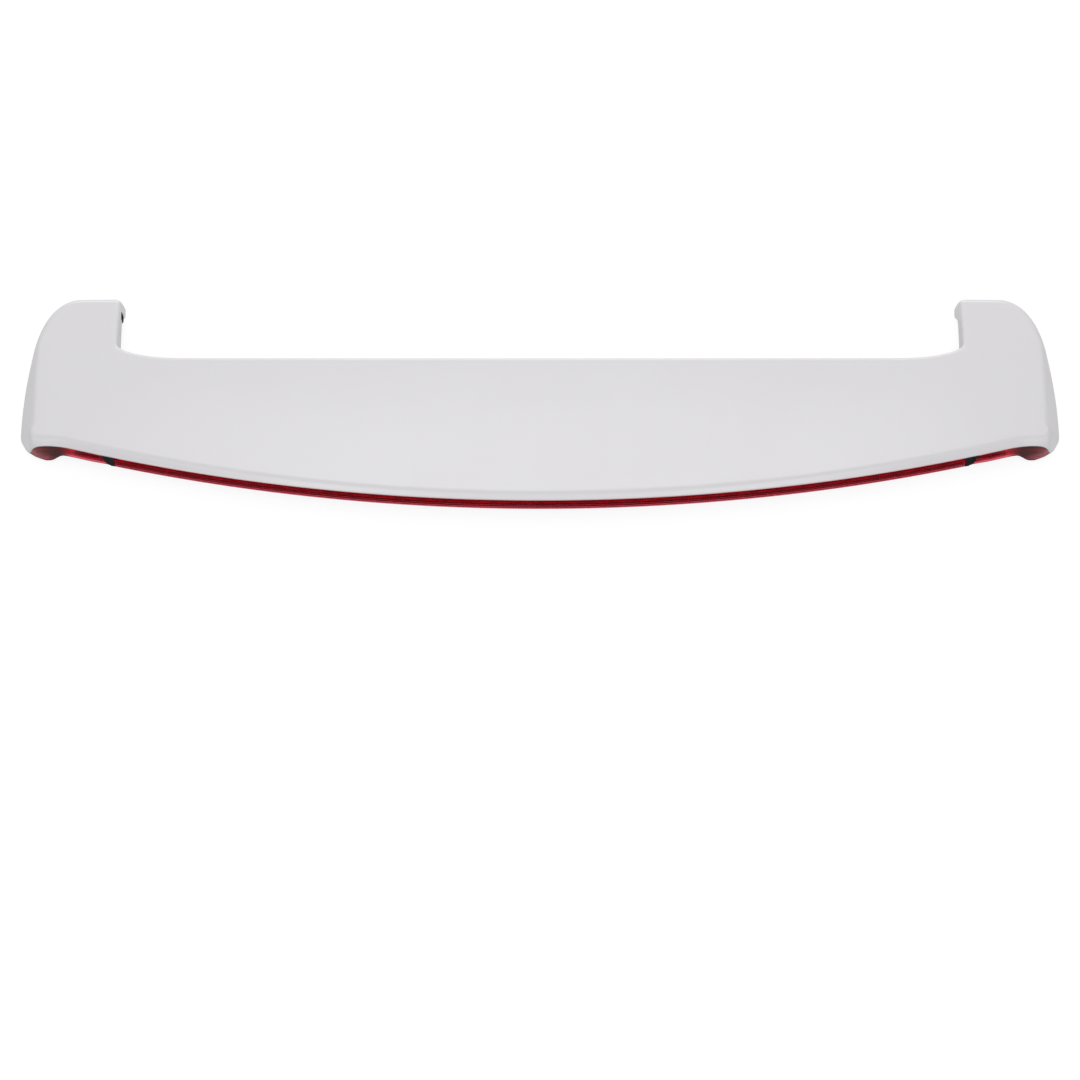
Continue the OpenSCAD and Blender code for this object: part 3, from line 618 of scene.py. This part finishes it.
def outside_section(a, b):
    """Outside of the shell from an inner station to its outer one."""
    points = [(a.x, a.y, lerp(under_z(a.x, a.y), top_z(a.x, a.y) - INNER_ROUND, t)) for t in steps(WALL_N)]
    for k in range(ROUND_N + 1):
        t = math.radians(90 * k / ROUND_N)
        x, y = a.inward(INNER_ROUND * (1 - math.cos(t)))
        points.append((x, y, top_z(x, y) - INNER_ROUND * (1 - math.sin(t))))
    p, q = points[-1], b.inward(b.band)
    gap = math.hypot(p[0] - q[0], p[1] - q[1])
    across = ((p[0] - q[0]) / gap, (p[1] - q[1]) / gap)
    lean = max(across[0] * b.nx + across[1] * b.ny, LEAN_LEAST)
    scale = min(1, CREASE_SHARE * gap / OVER_CREASE[-1]) / gap
    shares = [1 - (1 - OVER_CREASE[-1] * scale) * k / TOP_N for k in range(1, TOP_N)]
    shares += [d * scale for d in OVER_CREASE[::-1]]
    for t in shares:
        place = (lerp(q[0], p[0], t), lerp(q[1], p[1], t))
        points.append((*place, band_z(b, b.band + t * gap * lean, place)))
    bend = clamp(b.roundness / SIDE_ROUNDNESS)
    start = LIP_CHAMFER * (1 - bend)
    for k in range(BAND_N + 1):
        u = 1 - k / BAND_N
        d = lerp(start, b.band, lerp(u, 1 - math.cos(math.pi / 2 * u), bend))
        points.append((*b.inward(d), band_z(b, d)))
    rim = points[-1][2]
    points += [(*b.inward(start * (1 - t)), rim - LIP_DROP * (1 - bend) * t) for t in CHAMFER_STEPS]
    low = points[-1][2]
    points += [(b.x, b.y, lerp(low, b.foot_z, k / EDGE_N)) for k in range(1, EDGE_N + 1)]
    return [raked(p) for p in points]


def inside_section(a, b):
    """Inside of the shell between the same stations, a wall's thickness further in."""
    r = INNER_ROUND - WALL
    x, y = a.inward(WALL)
    points = [(x, y, under_z(a.x, a.y)), (x, y, top_z(x, y) - WALL - r)]
    p, q = a.inward(WALL + r), b.inward(b.band)
    for k in range(INSIDE_N + 1):
        x, y = lerp(p[0], q[0], k / INSIDE_N), lerp(p[1], q[1], k / INSIDE_N)
        points.append((x, y, top_z(x, y) - WALL))
    for u in INSIDE_STEPS:
        x, y = b.inward(WALL + (b.band - WALL) * u)
        top = top_z(x, y) - WALL
        edge = b.edge - (WALL * INSIDE_DROP if b.roundness == 0 else 0)
        points.append((x, y, lerp(edge, top, lerp(u, math.sqrt(1 - (1 - u) ** 2), b.roundness))))
    return [raked(p) for p in points + [(*b.inward(WALL), b.foot_z)]]


def make_shell():
    """The white shell: its outside and inside, closed along both edges, with the cable slot cut out."""
    outside = both_halves([outside_section(a, b) for a, b in zip(INNER, OUTER)])
    inside = both_halves([inside_section(a, b) for a, b in zip(INNER, OUTER)])
    rows, no, ni = len(outside), len(outside[0]), len(inside[0])
    start = rows * no
    faces = grid_faces(rows, no, turned=True) + grid_faces(rows, ni, start)
    for i in range(rows - 1):
        a, b = i * no, start + i * ni
        faces.append([a, a + no, b + ni, b])
        a, b = a + no - 1, b + ni - 1
        faces.append([a, b, b + ni, a + no])
    points = [p for row in outside + inside for p in row]
    piece = add_mesh("shell_skin", points, faces, smooth=SHELL_SMOOTH)
    cut(piece, [cable_slot()], smooth=SHELL_SMOOTH)
    return piece


def cover_row(a, b, lift):
    """A row of points across the cover, lifted above its underside."""
    p = a.inward(WALL + PLAY)
    q = b.inward(lerp(WALL, FLANGE, b.lamp) + PLAY)
    row = []
    for k in range(COVER_N + 1):
        x, y = lerp(p[0], q[0], k / COVER_N), lerp(p[1], q[1], k / COVER_N)
        row.append(raked((x, y, under_z(x, y) + lift)))
    return row


def make_cover():
    """The cover under the shell, with seats for the inserts and the screws' heads."""
    rows = [cover_row(a, b, 0) + cover_row(a, b, COVER_T)[::-1] for a, b in zip(INNER, OUTER)]
    piece = add_mesh("cover_skin", *loft(both_halves(rows)), smooth=30)
    tools = [rod(x, y, -1, PAD_T + INSERT_H, INSERT_R) for x, y in INSERTS]
    for x, y in LAMP_SCREWS + COVER_SCREWS:
        z = under_z(x, y)
        tools += [rod(x, y, z - 2, z + 1, SCREW_HEAD_R + PLAY)]
    cut(piece, tools + [cable_slot()])
    return piece


dress(make_shell(), "shell_paint", SHELL_PAINT, "upper_shell")
dress(make_cover(), "cover_plastic", COVER_PLASTIC, "lower_cover")

# Lamp: its parts follow the lip's arc in a plane that is tilted with it
LENS_STEP, FLUTE_PITCH, FLUTE_DEPTH = 0.75, 3.0, 0.35
JOINT_SLANT, SLANT_RUN, LENS_SMOOTH = 3.2, 14, 32
# The end lens: where it deepens to a pod, where the pod fades out to its tip, and by how much
POD_START, POD_RUN, TIP_START, TIP_RUN, TIP_POWER, TIP_RISE = 53, 20, 29, 18, 1.2, 9
POD_REACH, TIP_REACH, POD_WALL, POD_CORNER_N = 0.6, 1.3, 0.28, 10


def lamp_point(x, p, z):
    """A point by its place along the lip, its distance beyond the lip and its height above it."""
    a, r = math.asin(x / LIP_R), LIP_R + p
    y = LIP_R - r * math.cos(a)
    return r * math.sin(a), LIP_Y + y * COS_T + z * SIN_T, LIP_Z - y * SIN_T + z * COS_T


def soft_curve(points, n):
    """Points of a soft curve that runs through the given ones."""
    ends = [points[0], *points, points[-1]]
    made = []
    for i in range(len(points) - 1):
        a, b, c, d = ends[i:i + 4]
        for t in steps(n):
            made.append(tuple(
                0.5 * (2 * q + (r - p) * t + (2 * p - 5 * q + 4 * r - s) * t * t
                       + (3 * q - p - 3 * r + s) * t ** 3) for p, q, r, s in zip(a, b, c, d)))
    return made + [points[-1]]


def spaced(low, high, step):
    """Evenly spaced numbers from low to high, about a step apart."""
    n = max(round((high - low) / step), 1)
    return [lerp(low, high, i / n) for i in range(n + 1)]


FULL_CURVE = LENS_CURVE[:5] + [(1, 0.9), (0.92, 0.965), (0.7, 1)]
FACE_CURVE = [(min(p, 1.0), min(q, 1.0)) for p, q in soft_curve(FULL_CURVE, 3)]
LENS_FACE = [(LENS_BULGE * p, lerp(LENS_TOP, LENS_BOTTOM, q)) for p, q in FACE_CURVE]
LENS_FACE = [(min(p, (LENS_PROUD + SIN_T * z) / COS_T), z) for p, z in LENS_FACE]


def flute(x):
    """Depth of the upright flutes inside a lens."""
    return FLUTE_DEPTH * (1 - abs(math.sin(math.pi * x / FLUTE_PITCH)))


def make_centre_lens():
    """The long lens, fluted on its inside."""
    t, rows = LENS_T, []
    behind = soft_curve([(-t, LENS_BOTTOM + t), (LENS_BULGE - t, LENS_BOTTOM + 2 * t),
                         (LENS_BULGE - t, LENS_TOP - 2 * t), (-t, LENS_TOP - t)], 3)
    flanges = [(-FLANGE, LENS_BOTTOM), (-FLANGE, LENS_BOTTOM + t)]
    for x in spaced(SEAL_W / 2 - JOINT_X, JOINT_X - SEAL_W / 2, LENS_STEP):
        inner = [(p - flute(x), z) for p, z in behind]
        ring = LENS_FACE + flanges + inner + [(-FLANGE, LENS_TOP - t), (-FLANGE, LENS_TOP)]
        rows.append([lamp_point(x, p, z) for p, z in ring])
    return add_mesh("centre_lens_clear", *loft(rows), smooth=LENS_SMOOTH)


def pod_depth(x):
    """How far the end lens has deepened to the pod."""
    return ease((x - SPAN / 2 + POD_START) / POD_RUN)


def pod_tip(x):
    """How far the pod has faded out towards its tip at the corner."""
    return clamp((x - SPAN / 2 + TIP_START) / TIP_RUN) ** TIP_POWER


def pod_bottom(x):
    """Height of the end lens's lower edge."""
    straight = LIP_Z + COS_T * LENS_BOTTOM - SIN_T * arc_rise(min(x, TAIL_X))
    return lerp(straight, PAD_T + 2, pod_depth(x)) + TIP_RISE * pod_tip(x)


def pod_rows():
    """Sections of the right end lens, from the joint round the rear corner."""
    joint = JOINT_X + SEAL_W / 2
    places = [(lip_station(x), 0.0) for x in spaced(joint, CORNER_C[0], LENS_STEP)]
    places += [(corner_station(lerp(-90, LENS_TURN, k / POD_CORNER_N)), k)
               for k in range(1, POD_CORNER_N + 1)]
    rows = []
    for s, k in places:
        top = lip_height(s.x) - LIP_T - PLAY - 0.2
        bottom = pod_bottom(s.x)
        h = top - bottom
        t, back = min(LENS_T - PLAY, POD_WALL * h), FLANGE - 0.8
        reach = 1 + POD_REACH * pod_depth(s.x) - TIP_REACH * pod_tip(s.x)
        lean = SIN_T * LAMP_H
        face = [(reach * (LENS_BULGE * p + lean * q), lerp(top, bottom, q)) for p, q in FACE_CURVE]
        lip, dent = reach * LENS_BULGE - t, flute(s.x) if k == 0 else 0.0
        inner = soft_curve([(-t, bottom + t), (lip + lean * 0.7 * reach, bottom + 1.3 * t),
                            (lip, top - 1.3 * t), (-t, top - t)], 3)
        ring = face + [(-back, bottom), (-back, bottom + t)] + [(p - dent, z) for p, z in inner]
        ring += [(-back, top - t), (-back, top)]
        row = []
        for p, z in ring:
            x, y = s.inward(-p)
            shift = JOINT_SLANT * (1 - 2 * (top - z) / h) * clamp(1 - (s.x - joint) / SLANT_RUN)
            row.append((x + shift, y, z + SIN_T * min(0, p - lean * (top - z) / h)))
        rows.append(row)
    return rows


def mirrored(rows, side):
    """The rows themselves for the right side, their mirror images for the left one."""
    return [[(side * x, y, z) for x, y, z in row] for row in rows]


def make_end_lens(name, side):
    """The lens round a rear corner."""
    return add_mesh(name, *loft(mirrored(pod_rows(), side)), smooth=LENS_SMOOTH)


# Joint block: place along its width, how far it stands beyond the lens face, rise of its underside
BLOCK_STEPS = ((0, -0.1, 0.4), (0.05, 0.1, 0.15), (0.12, 0.15, 0.1), (0.3, 0.15, 0.1), (0.44, 0.15, 0.1),
               (0.5, 0.4, 0.05), (0.54, 0.5, 0.0), (0.58, 0.4, 0.05), (0.61, -0.3, 0.5), (0.63, -0.9, 1.0),
               (0.7, -0.9, 1.0), (0.74, -0.3, 0.5), (0.9, -0.25, 0.4), (1, -0.3, 0.5))


def make_joint_block(name, side):
    """The black block between two lenses, with a raised rim beside a groove."""
    low, high, rows = JOINT_X - SEAL_W / 2 + PLAY, JOINT_X + SEAL_W / 2 - PLAY, []
    for t, stand, rise in BLOCK_STEPS:
        ring = []
        for p, z in [(p + stand, z) for p, z in LENS_FACE] + [(-FLANGE, LENS_BOTTOM), (-FLANGE, LENS_TOP)]:
            share = (LENS_TOP - z) / LAMP_H
            x = lerp(low, high, t) + JOINT_SLANT * (1 - 2 * share) * t
            ring.append(lamp_point(x, p, z + rise * share ** 4 - 0.4 * (stand < 0) * (1 - share) ** 4))
        rows.append(ring)
    return add_mesh(name, *loft(mirrored(rows, side)), smooth=28)


# Reflector: one hollow cell for each light source, in a trough behind the lens
BOARD_T, TAPER, MIRROR_T, MIRROR_TURN, MIRROR_BEVEL = 1.6, 5, 0.8, 1.2, 0.35
MIRROR_FRONT, TROUGH_FRONT, CELL_DEPTH, CELL_N, LAMP_END = -3.5, -3, 8.5, 16, 2.5
MIRROR_SMOOTH = 40
INNER_TOP, INNER_BOTTOM = LENS_TOP - LENS_T - PLAY, LENS_BOTTOM + LENS_T + PLAY
BOARD_P = HOUSING_T + PLAY - HOUSING_D
BOARD_LOW = INNER_BOTTOM + TAPER + HOUSING_T + 2 * PLAY
BOARD_HIGH = INNER_TOP - HOUSING_T - PLAY
LED_W, LED_H, LED_Z = 3.5, 2.8, (BOARD_LOW + BOARD_HIGH) / 2
MIRROR_P = BOARD_P + BOARD_T + PLAY
CENTRE_RANGE = (SEAL_W / 2 + LAMP_END - JOINT_X, JOINT_X - SEAL_W / 2 - LAMP_END)
END_RANGE = (JOINT_X + SEAL_W / 2 + LAMP_END, TAIL_X)
# Light source: front of its package's wall and of its bevel, the bevel, and its dome
PACKAGE_WALL, PACKAGE_FRONT, PACKAGE_BEVEL = 0.7, 0.9, 0.25
DOME_R, DOME_BASE, DOME_H, DOME_TURN, DOME_N, DOME_SIDES = 1.05, 0.85, 0.74, 88, 5, 16


def led_places(ends, n):
    """Places of n light sources, evenly spaced between the ends."""
    return [lerp(*ends, (i + 0.5) / n) for i in range(n)]


def mirror_z(p):
    """Height of the trough's floor, which rises towards the back."""
    rise = (TROUGH_FRONT - p) / (HOUSING_D - HOUSING_T + TROUGH_FRONT)
    return lerp(INNER_BOTTOM + HOUSING_T, INNER_BOTTOM + TAPER + HOUSING_T, rise) + 2 * PLAY


def box_ring(w, h):
    """Corners of a rectangle of half sizes w and h."""
    return [(-w, -h), (w, -h), (w, h), (-w, h)]


def make_reflector(name, ends, n, side=1):
    """A trough whose back bulges away from every light source, with a window for each."""
    pitch, rows = (ends[1] - ends[0]) / n, []
    for x in spaced(ends[0] + 1, ends[1] - 1, pitch / CELL_N):
        u = 2 * abs((x - ends[0]) / pitch % 1 - 0.5)
        front, back, top, m = MIRROR_FRONT, MIRROR_P + CELL_DEPTH * u * u, BOARD_HIGH, MIRROR_T
        floor_back, floor_front, turn = mirror_z(back), mirror_z(front), MIRROR_TURN
        rear, bevel = back + m, MIRROR_BEVEL
        inner = [(front, top - m), (rear + turn, top - m), (rear + bevel, top - m - bevel),
                 (rear, top - m - turn), (rear, floor_back + m + turn),
                 (rear + bevel, floor_back + m + bevel),
                 (rear + turn, mirror_z(back + turn) + m), (front, floor_front + m)]
        ring = inner + [(front, floor_front), (back, floor_back), (back, top), (front, top)]
        rows.append([lamp_point(x, p, z) for p, z in ring])
    piece = add_mesh(name, *loft(mirrored(rows, side)), smooth=MIRROR_SMOOTH)
    window = box_ring(LED_W / 2 + PLAY, LED_H / 2 + PLAY)
    holes = [loft(mirrored([[lamp_point(x + dx, p, LED_Z + dz) for dx, dz in window]
                            for p in (MIRROR_P - 1, MIRROR_P + 1.4)], side)) for x in led_places(ends, n)]
    cut(piece, holes, smooth=MIRROR_SMOOTH)
    return piece


def light_source(x, side):
    """A moulded package with a dome on its front, as points and faces."""
    back, package, dome = BOARD_P + BOARD_T, [], []
    for p, inset in ((0, 0.0), (PACKAGE_WALL, 0.0), (PACKAGE_FRONT, PACKAGE_BEVEL)):
        ring = box_ring(LED_W / 2 - inset, LED_H / 2 - inset)
        package.append([lamp_point(x + dx, back + p, LED_Z + dz) for dx, dz in ring])
    for k in range(DOME_N + 1):
        a = math.radians(DOME_TURN * k / DOME_N)
        dome.append([lamp_point(x + dx, back + DOME_BASE + DOME_H * math.sin(a), LED_Z + dz)
                     for dx, dz in circle(DOME_R * math.cos(a), DOME_SIDES)])
    return joined([loft(mirrored(package, side)), loft(mirrored(dome, side))])


def make_light_sources(name, ends, n, side=1):
    """A lamp's row of light sources as one piece."""
    return add_mesh(name, *joined([light_source(x, side) for x in led_places(ends, n)]), smooth=30)


# Small parts
THREAD_PITCH, THREAD_DEPTH, HEAD_H, SCREW_SIDES, SCREW_SMOOTH = 0.4, 0.25, 1.0, 40, 32
HEAD_CURVE = ((0.001, -0.8), (1.3, -0.78), (2.2, -0.6), (2.8, -0.2), (3.1, 0.3), (SCREW_HEAD_R, 0.75))
CROSS_LEN, CROSS_W, CROSS_CUT = 1.9, 0.38, ((-1.2, 1.05), (0.35, 0.75))
INSERT_THREAD, LEAD_IN, THREAD_FADE, KNURL, INSERT_SIDES = 0.45, 0.5, 0.6, 0.15, 60
PAD_INSET, PAD_CLEAR = 4.5, 1


def make_screws(name, places, length):
    """Pan-headed screws from below, with a cross recess."""
    thread = [(SCREW_R - THREAD_DEPTH * (k % 2), HEAD_H + THREAD_PITCH * k)
              for k in range(1, int(length / THREAD_PITCH))]
    profile = [*HEAD_CURVE, (SCREW_HEAD_R, HEAD_H), (SCREW_R, HEAD_H), *thread, (0.001, HEAD_H + length)]
    turned, crosses = [], ([], [])
    for x, y in places:
        z = under_z(x, y)
        turned.append(lathe(profile, SCREW_SIDES, x, y, z))
        for cross, sizes in zip(crosses, ((CROSS_LEN, CROSS_W), (CROSS_W, CROSS_LEN))):
            cross.append(loft([[(x + scale * dx, y + scale * dy, z + h) for dx, dy in box_ring(*sizes)]
                               for h, scale in CROSS_CUT]))
    piece = add_mesh(name, *joined(turned), smooth=SCREW_SMOOTH)
    for cross in crosses:
        cut(piece, cross, smooth=SCREW_SMOOTH)
    return piece


def make_inserts(name, side):
    """Threaded sleeves with a fine knurl outside."""
    height, parts = INSERT_H - 0.5, []
    for x, y in INSERTS:
        if x * side < 0:
            continue
        rows = []
        for k, (cx, cy) in enumerate(circle(1, INSERT_SIDES)):
            bore = [(INSERT_BORE_R + INSERT_THREAD * (1 - ease(abs(2 * ((z - k / INSERT_SIDES) % 1) - 1)))
                     * ease(z / THREAD_FADE) * ease((height - z) / THREAD_FADE), z)
                    for z in spaced(LEAD_IN, height - LEAD_IN, 0.25)]
            knurl = INSERT_R - KNURL * (k % 2)
            ring = [(INSERT_BORE_R + LEAD_IN, 0)] + bore + [
                (INSERT_BORE_R + LEAD_IN, height), (INSERT_R - 0.4, height), (knurl, height - 0.4),
                (knurl, 7.4), (INSERT_R - 0.6, 7.1), (INSERT_R - 0.6, 5.9), (knurl, 5.6), (knurl, 1.2),
                (INSERT_R, 0.8), (INSERT_R, 0.3), (INSERT_R - 0.3, 0)]
            rows.append([(x + r * cx, y + r * cy, PAD_T + z) for r, z in ring])
        parts.append(tube(rows))
    return add_mesh(name, *joined(parts), smooth=40)


def make_pad(name, side):
    """Foam pad with softly rounded edges and bores round the inserts."""
    low, high = TAIL_Y + 2 * PAD_INSET, FRONT_Y - PAD_INSET
    outer = [s for s in OUTER
             if s.x > TAIL_X and s.foot_z <= PAD_T and s.y < FRONT_Y - FOOT_FLAT and s.lamp == 0
             and low + PAD_CLEAR < s.inward(PAD_INSET)[1] < high - PAD_CLEAR]
    rows = []
    for z, shrink in ((0, 0.5), (0.12, 0.2), (0.45, 0), (PAD_T - 0.3, 0), (PAD_T, 0.15)):
        row = [(*s.inward(PAD_INSET + shrink), z) for s in outer]
        for y in (high - shrink, low + shrink):
            x = SPAN / 2 - WING_START + WING_RUN + PAD_CLEAR - WING_SPLAY * (y - TAIL_Y)
            row.append((x + shrink, y, z))
        rows.append(row)
    piece = add_mesh(name, *loft(mirrored(rows, side)), smooth=50)
    cut(piece, [rod(x, y, -1, PAD_T + 1, INSERT_R + 1) for x, y in INSERTS if x * side > 0], smooth=50)
    return piece


def make_grommet():
    """Rubber lining of the cable slot, with rounded edges."""
    low, high = -INNER_X - WALL - 1, -INNER_X + TOE_FLARE
    profile = [(low, CABLE_R + 0.5), (low, GROMMET_R - 0.4), (low + 0.4, GROMMET_R), (high - 0.5, GROMMET_R),
               (high - 0.15, GROMMET_R - 0.15), (high, GROMMET_R - 0.5), (high, CABLE_R + 0.6),
               (high - 0.2, CABLE_R + 0.18), (high - 0.6, CABLE_R), (low + 0.5, CABLE_R),
               (low + 0.15, CABLE_R + 0.15)]
    return add_mesh("cable_grommet_rubber", *tube([slot_ring(x, r) for x, r in profile]), smooth=40)


dress(make_centre_lens(), "lens_red", LENS_RED, "centre_lens")
dress(make_reflector("centre_reflector_cells", CENTRE_RANGE, LED_N), "reflector_silver", REFLECTOR,
      "centre_reflector")
dress(make_light_sources("centre_light_sources", CENTRE_RANGE, LED_N), "led_resin", LED_RESIN, "centre_leds")
for word, side in (("left", -1), ("right", 1)):
    dress(make_end_lens(word + "_lens_clear", side), "lens_red", LENS_RED, word + "_lens")
    dress(make_joint_block(word + "_joint_block", side), "seal_black", SEAL_BLACK, word + "_joint_seal")
    dress(make_reflector(word + "_reflector_cells", END_RANGE, LED_END_N, side), "reflector_silver",
          REFLECTOR, word + "_reflector")
    dress(make_light_sources(word + "_light_sources", END_RANGE, LED_END_N, side), "led_resin", LED_RESIN,
          word + "_leds")
    dress(make_inserts(word + "_threaded_inserts", side), "insert_brass", INSERT_BRASS, word + "_inserts")
    dress(make_pad(word + "_foam_pad", side), "foam_rubber", FOAM, word + "_pad")
dress(make_screws("lamp_screws_turned", LAMP_SCREWS, COVER_T + 6), "screw_steel", SCREW_STEEL, "lamp_screws")
dress(make_screws("cover_screws_turned", COVER_SCREWS, COVER_T + 7), "screw_steel", SCREW_STEEL,
      "cover_screws")
dress(make_grommet(), "grommet_rubber", RUBBER, "cable_grommet")
for word, stuff in (("housing", HOUSING_BLACK), ("board", BOARD), ("socket", SOCKET_NYLON)):
    for place in ("centre", "left", "right"):
        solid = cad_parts[place + "_" + word]
        solid.data.materials.clear()
        solid.data.materials.append(stuff)

# Room: floor, light and camera. The floor shows its pale colour to the camera and through glass
FLOOR_SIZE, FLOOR_LIT, FLOOR_DIM, FLOOR_SOFT, FLOOR_GLOW, SKY_SOFT = 12, 0.8, 0.05, 0.2, 0.87, 0.55
# In metres: the strip of floor behind the lamp fades in and out across the car and along it
STRIP_SIDE, STRIP_NEAR, STRIP_FAR = (0.54, 0.6), (-0.03, -0.05), (-0.3, -0.22)
LENS_MM, SENSOR_MM, ELEVATION, DISTANCE, AIM_Y = 90, 36, math.radians(74), 3.102, -0.157


def behind_lip(tree):
    """Mask of the strip of floor close behind the lamp, which its lens reflects as dark."""
    parts = node(tree, "ShaderNodeSeparateXYZ", {0: own_place(tree)}).outputs
    within = ramp(tree, maths(tree, "ABSOLUTE", parts["X"]), *STRIP_SIDE, 1.0, 0.0)
    along = maths(tree, "MULTIPLY", ramp(tree, parts["Y"], *STRIP_NEAR), ramp(tree, parts["Y"], *STRIP_FAR))
    return maths(tree, "MULTIPLY", along, within)


def diffuse(tree, grey):
    """A plain grey surface."""
    return node(tree, "ShaderNodeBsdfDiffuse", {"Color": (grey, grey, grey)}).outputs[0]


def make_floor():
    """Pale to the camera and through glass, dark behind the lamp in reflections, clear from below."""
    floor = bpy.data.objects.new("floor", bpy.data.meshes.new("floor"))
    floor.data.from_pydata([(x, y, 0) for x, y in box_ring(FLOOR_SIZE, FLOOR_SIZE)], [], [(0, 1, 2, 3)])
    bpy.context.scene.collection.objects.link(floor)
    mat = bpy.data.materials.new("pale floor")
    mat.use_nodes = True
    tree = mat.node_tree
    tree.nodes.clear()
    rays = node(tree, "ShaderNodeLightPath").outputs
    glow = node(tree, "ShaderNodeEmission", {"Color": (1.0, 1.0, 1.0), "Strength": FLOOR_GLOW})
    white = node(tree, "ShaderNodeAddShader", {0: diffuse(tree, FLOOR_SOFT), 1: glow.outputs[0]}).outputs[0]
    seen = maths(tree, "MAXIMUM", rays["Is Camera Ray"], rays["Is Transmission Ray"])
    shade = maths(tree, "MULTIPLY", rays["Is Glossy Ray"], behind_lip(tree))
    surface = mixed(tree, shade, diffuse(tree, FLOOR_LIT), diffuse(tree, FLOOR_DIM))
    surface = mixed(tree, seen, surface, white)
    below = node(tree, "ShaderNodeNewGeometry").outputs["Backfacing"]
    surface = mixed(tree, below, surface, node(tree, "ShaderNodeBsdfTransparent").outputs[0])
    node(tree, "ShaderNodeOutputMaterial", {"Surface": surface})
    floor.data.materials.append(mat)


def make_world():
    """White to the camera, softer as light."""
    world = bpy.data.worlds.new("studio")
    bpy.context.scene.world = world
    world.use_nodes = True
    tree = world.node_tree
    tree.nodes.clear()
    soft, white = (
        node(tree, "ShaderNodeBackground", {"Color": (1.0, 1.0, 1.0), "Strength": strength}).outputs[0]
        for strength in (SKY_SOFT, 1.0))
    rays = node(tree, "ShaderNodeLightPath").outputs
    node(tree, "ShaderNodeOutputWorld", {"Surface": mixed(tree, rays["Is Camera Ray"], soft, white)})


def area_light(name, place, size, power):
    """A rectangular lamp that points at the middle of the part's foot."""
    lamp = bpy.data.lights.new(name, "AREA")
    lamp.shape, lamp.size, lamp.size_y, lamp.energy = "RECTANGLE", *size, power
    made = bpy.data.objects.new(name, lamp)
    made.location = place
    made.rotation_euler = (Vector() - Vector(place)).to_track_quat("-Z", "Y").to_euler()
    bpy.context.scene.collection.objects.link(made)


def camera():
    """Looks down at the rear of the spoiler from the photograph's angle."""
    data = bpy.data.cameras.new("camera")
    data.lens, data.sensor_width = LENS_MM, SENSOR_MM
    made = bpy.data.objects.new("camera", data)
    made.location = (0, AIM_Y - DISTANCE * math.cos(ELEVATION), DISTANCE * math.sin(ELEVATION))
    made.rotation_euler = (math.pi / 2 - ELEVATION, 0, 0)
    bpy.context.scene.collection.objects.link(made)
    bpy.context.scene.camera = made


make_floor()
make_world()
area_light("ceiling light", (0, 0.1, 2.6), (2.0, 1.6), 18)
area_light("front light", (0, 3.0, 1.2), (3.0, 1.0), 28)
area_light("rear strip", (0, -3.0, 0.2), (3.2, 0.3), 14)
camera()
bpy.context.scene.view_settings.view_transform = "Standard"
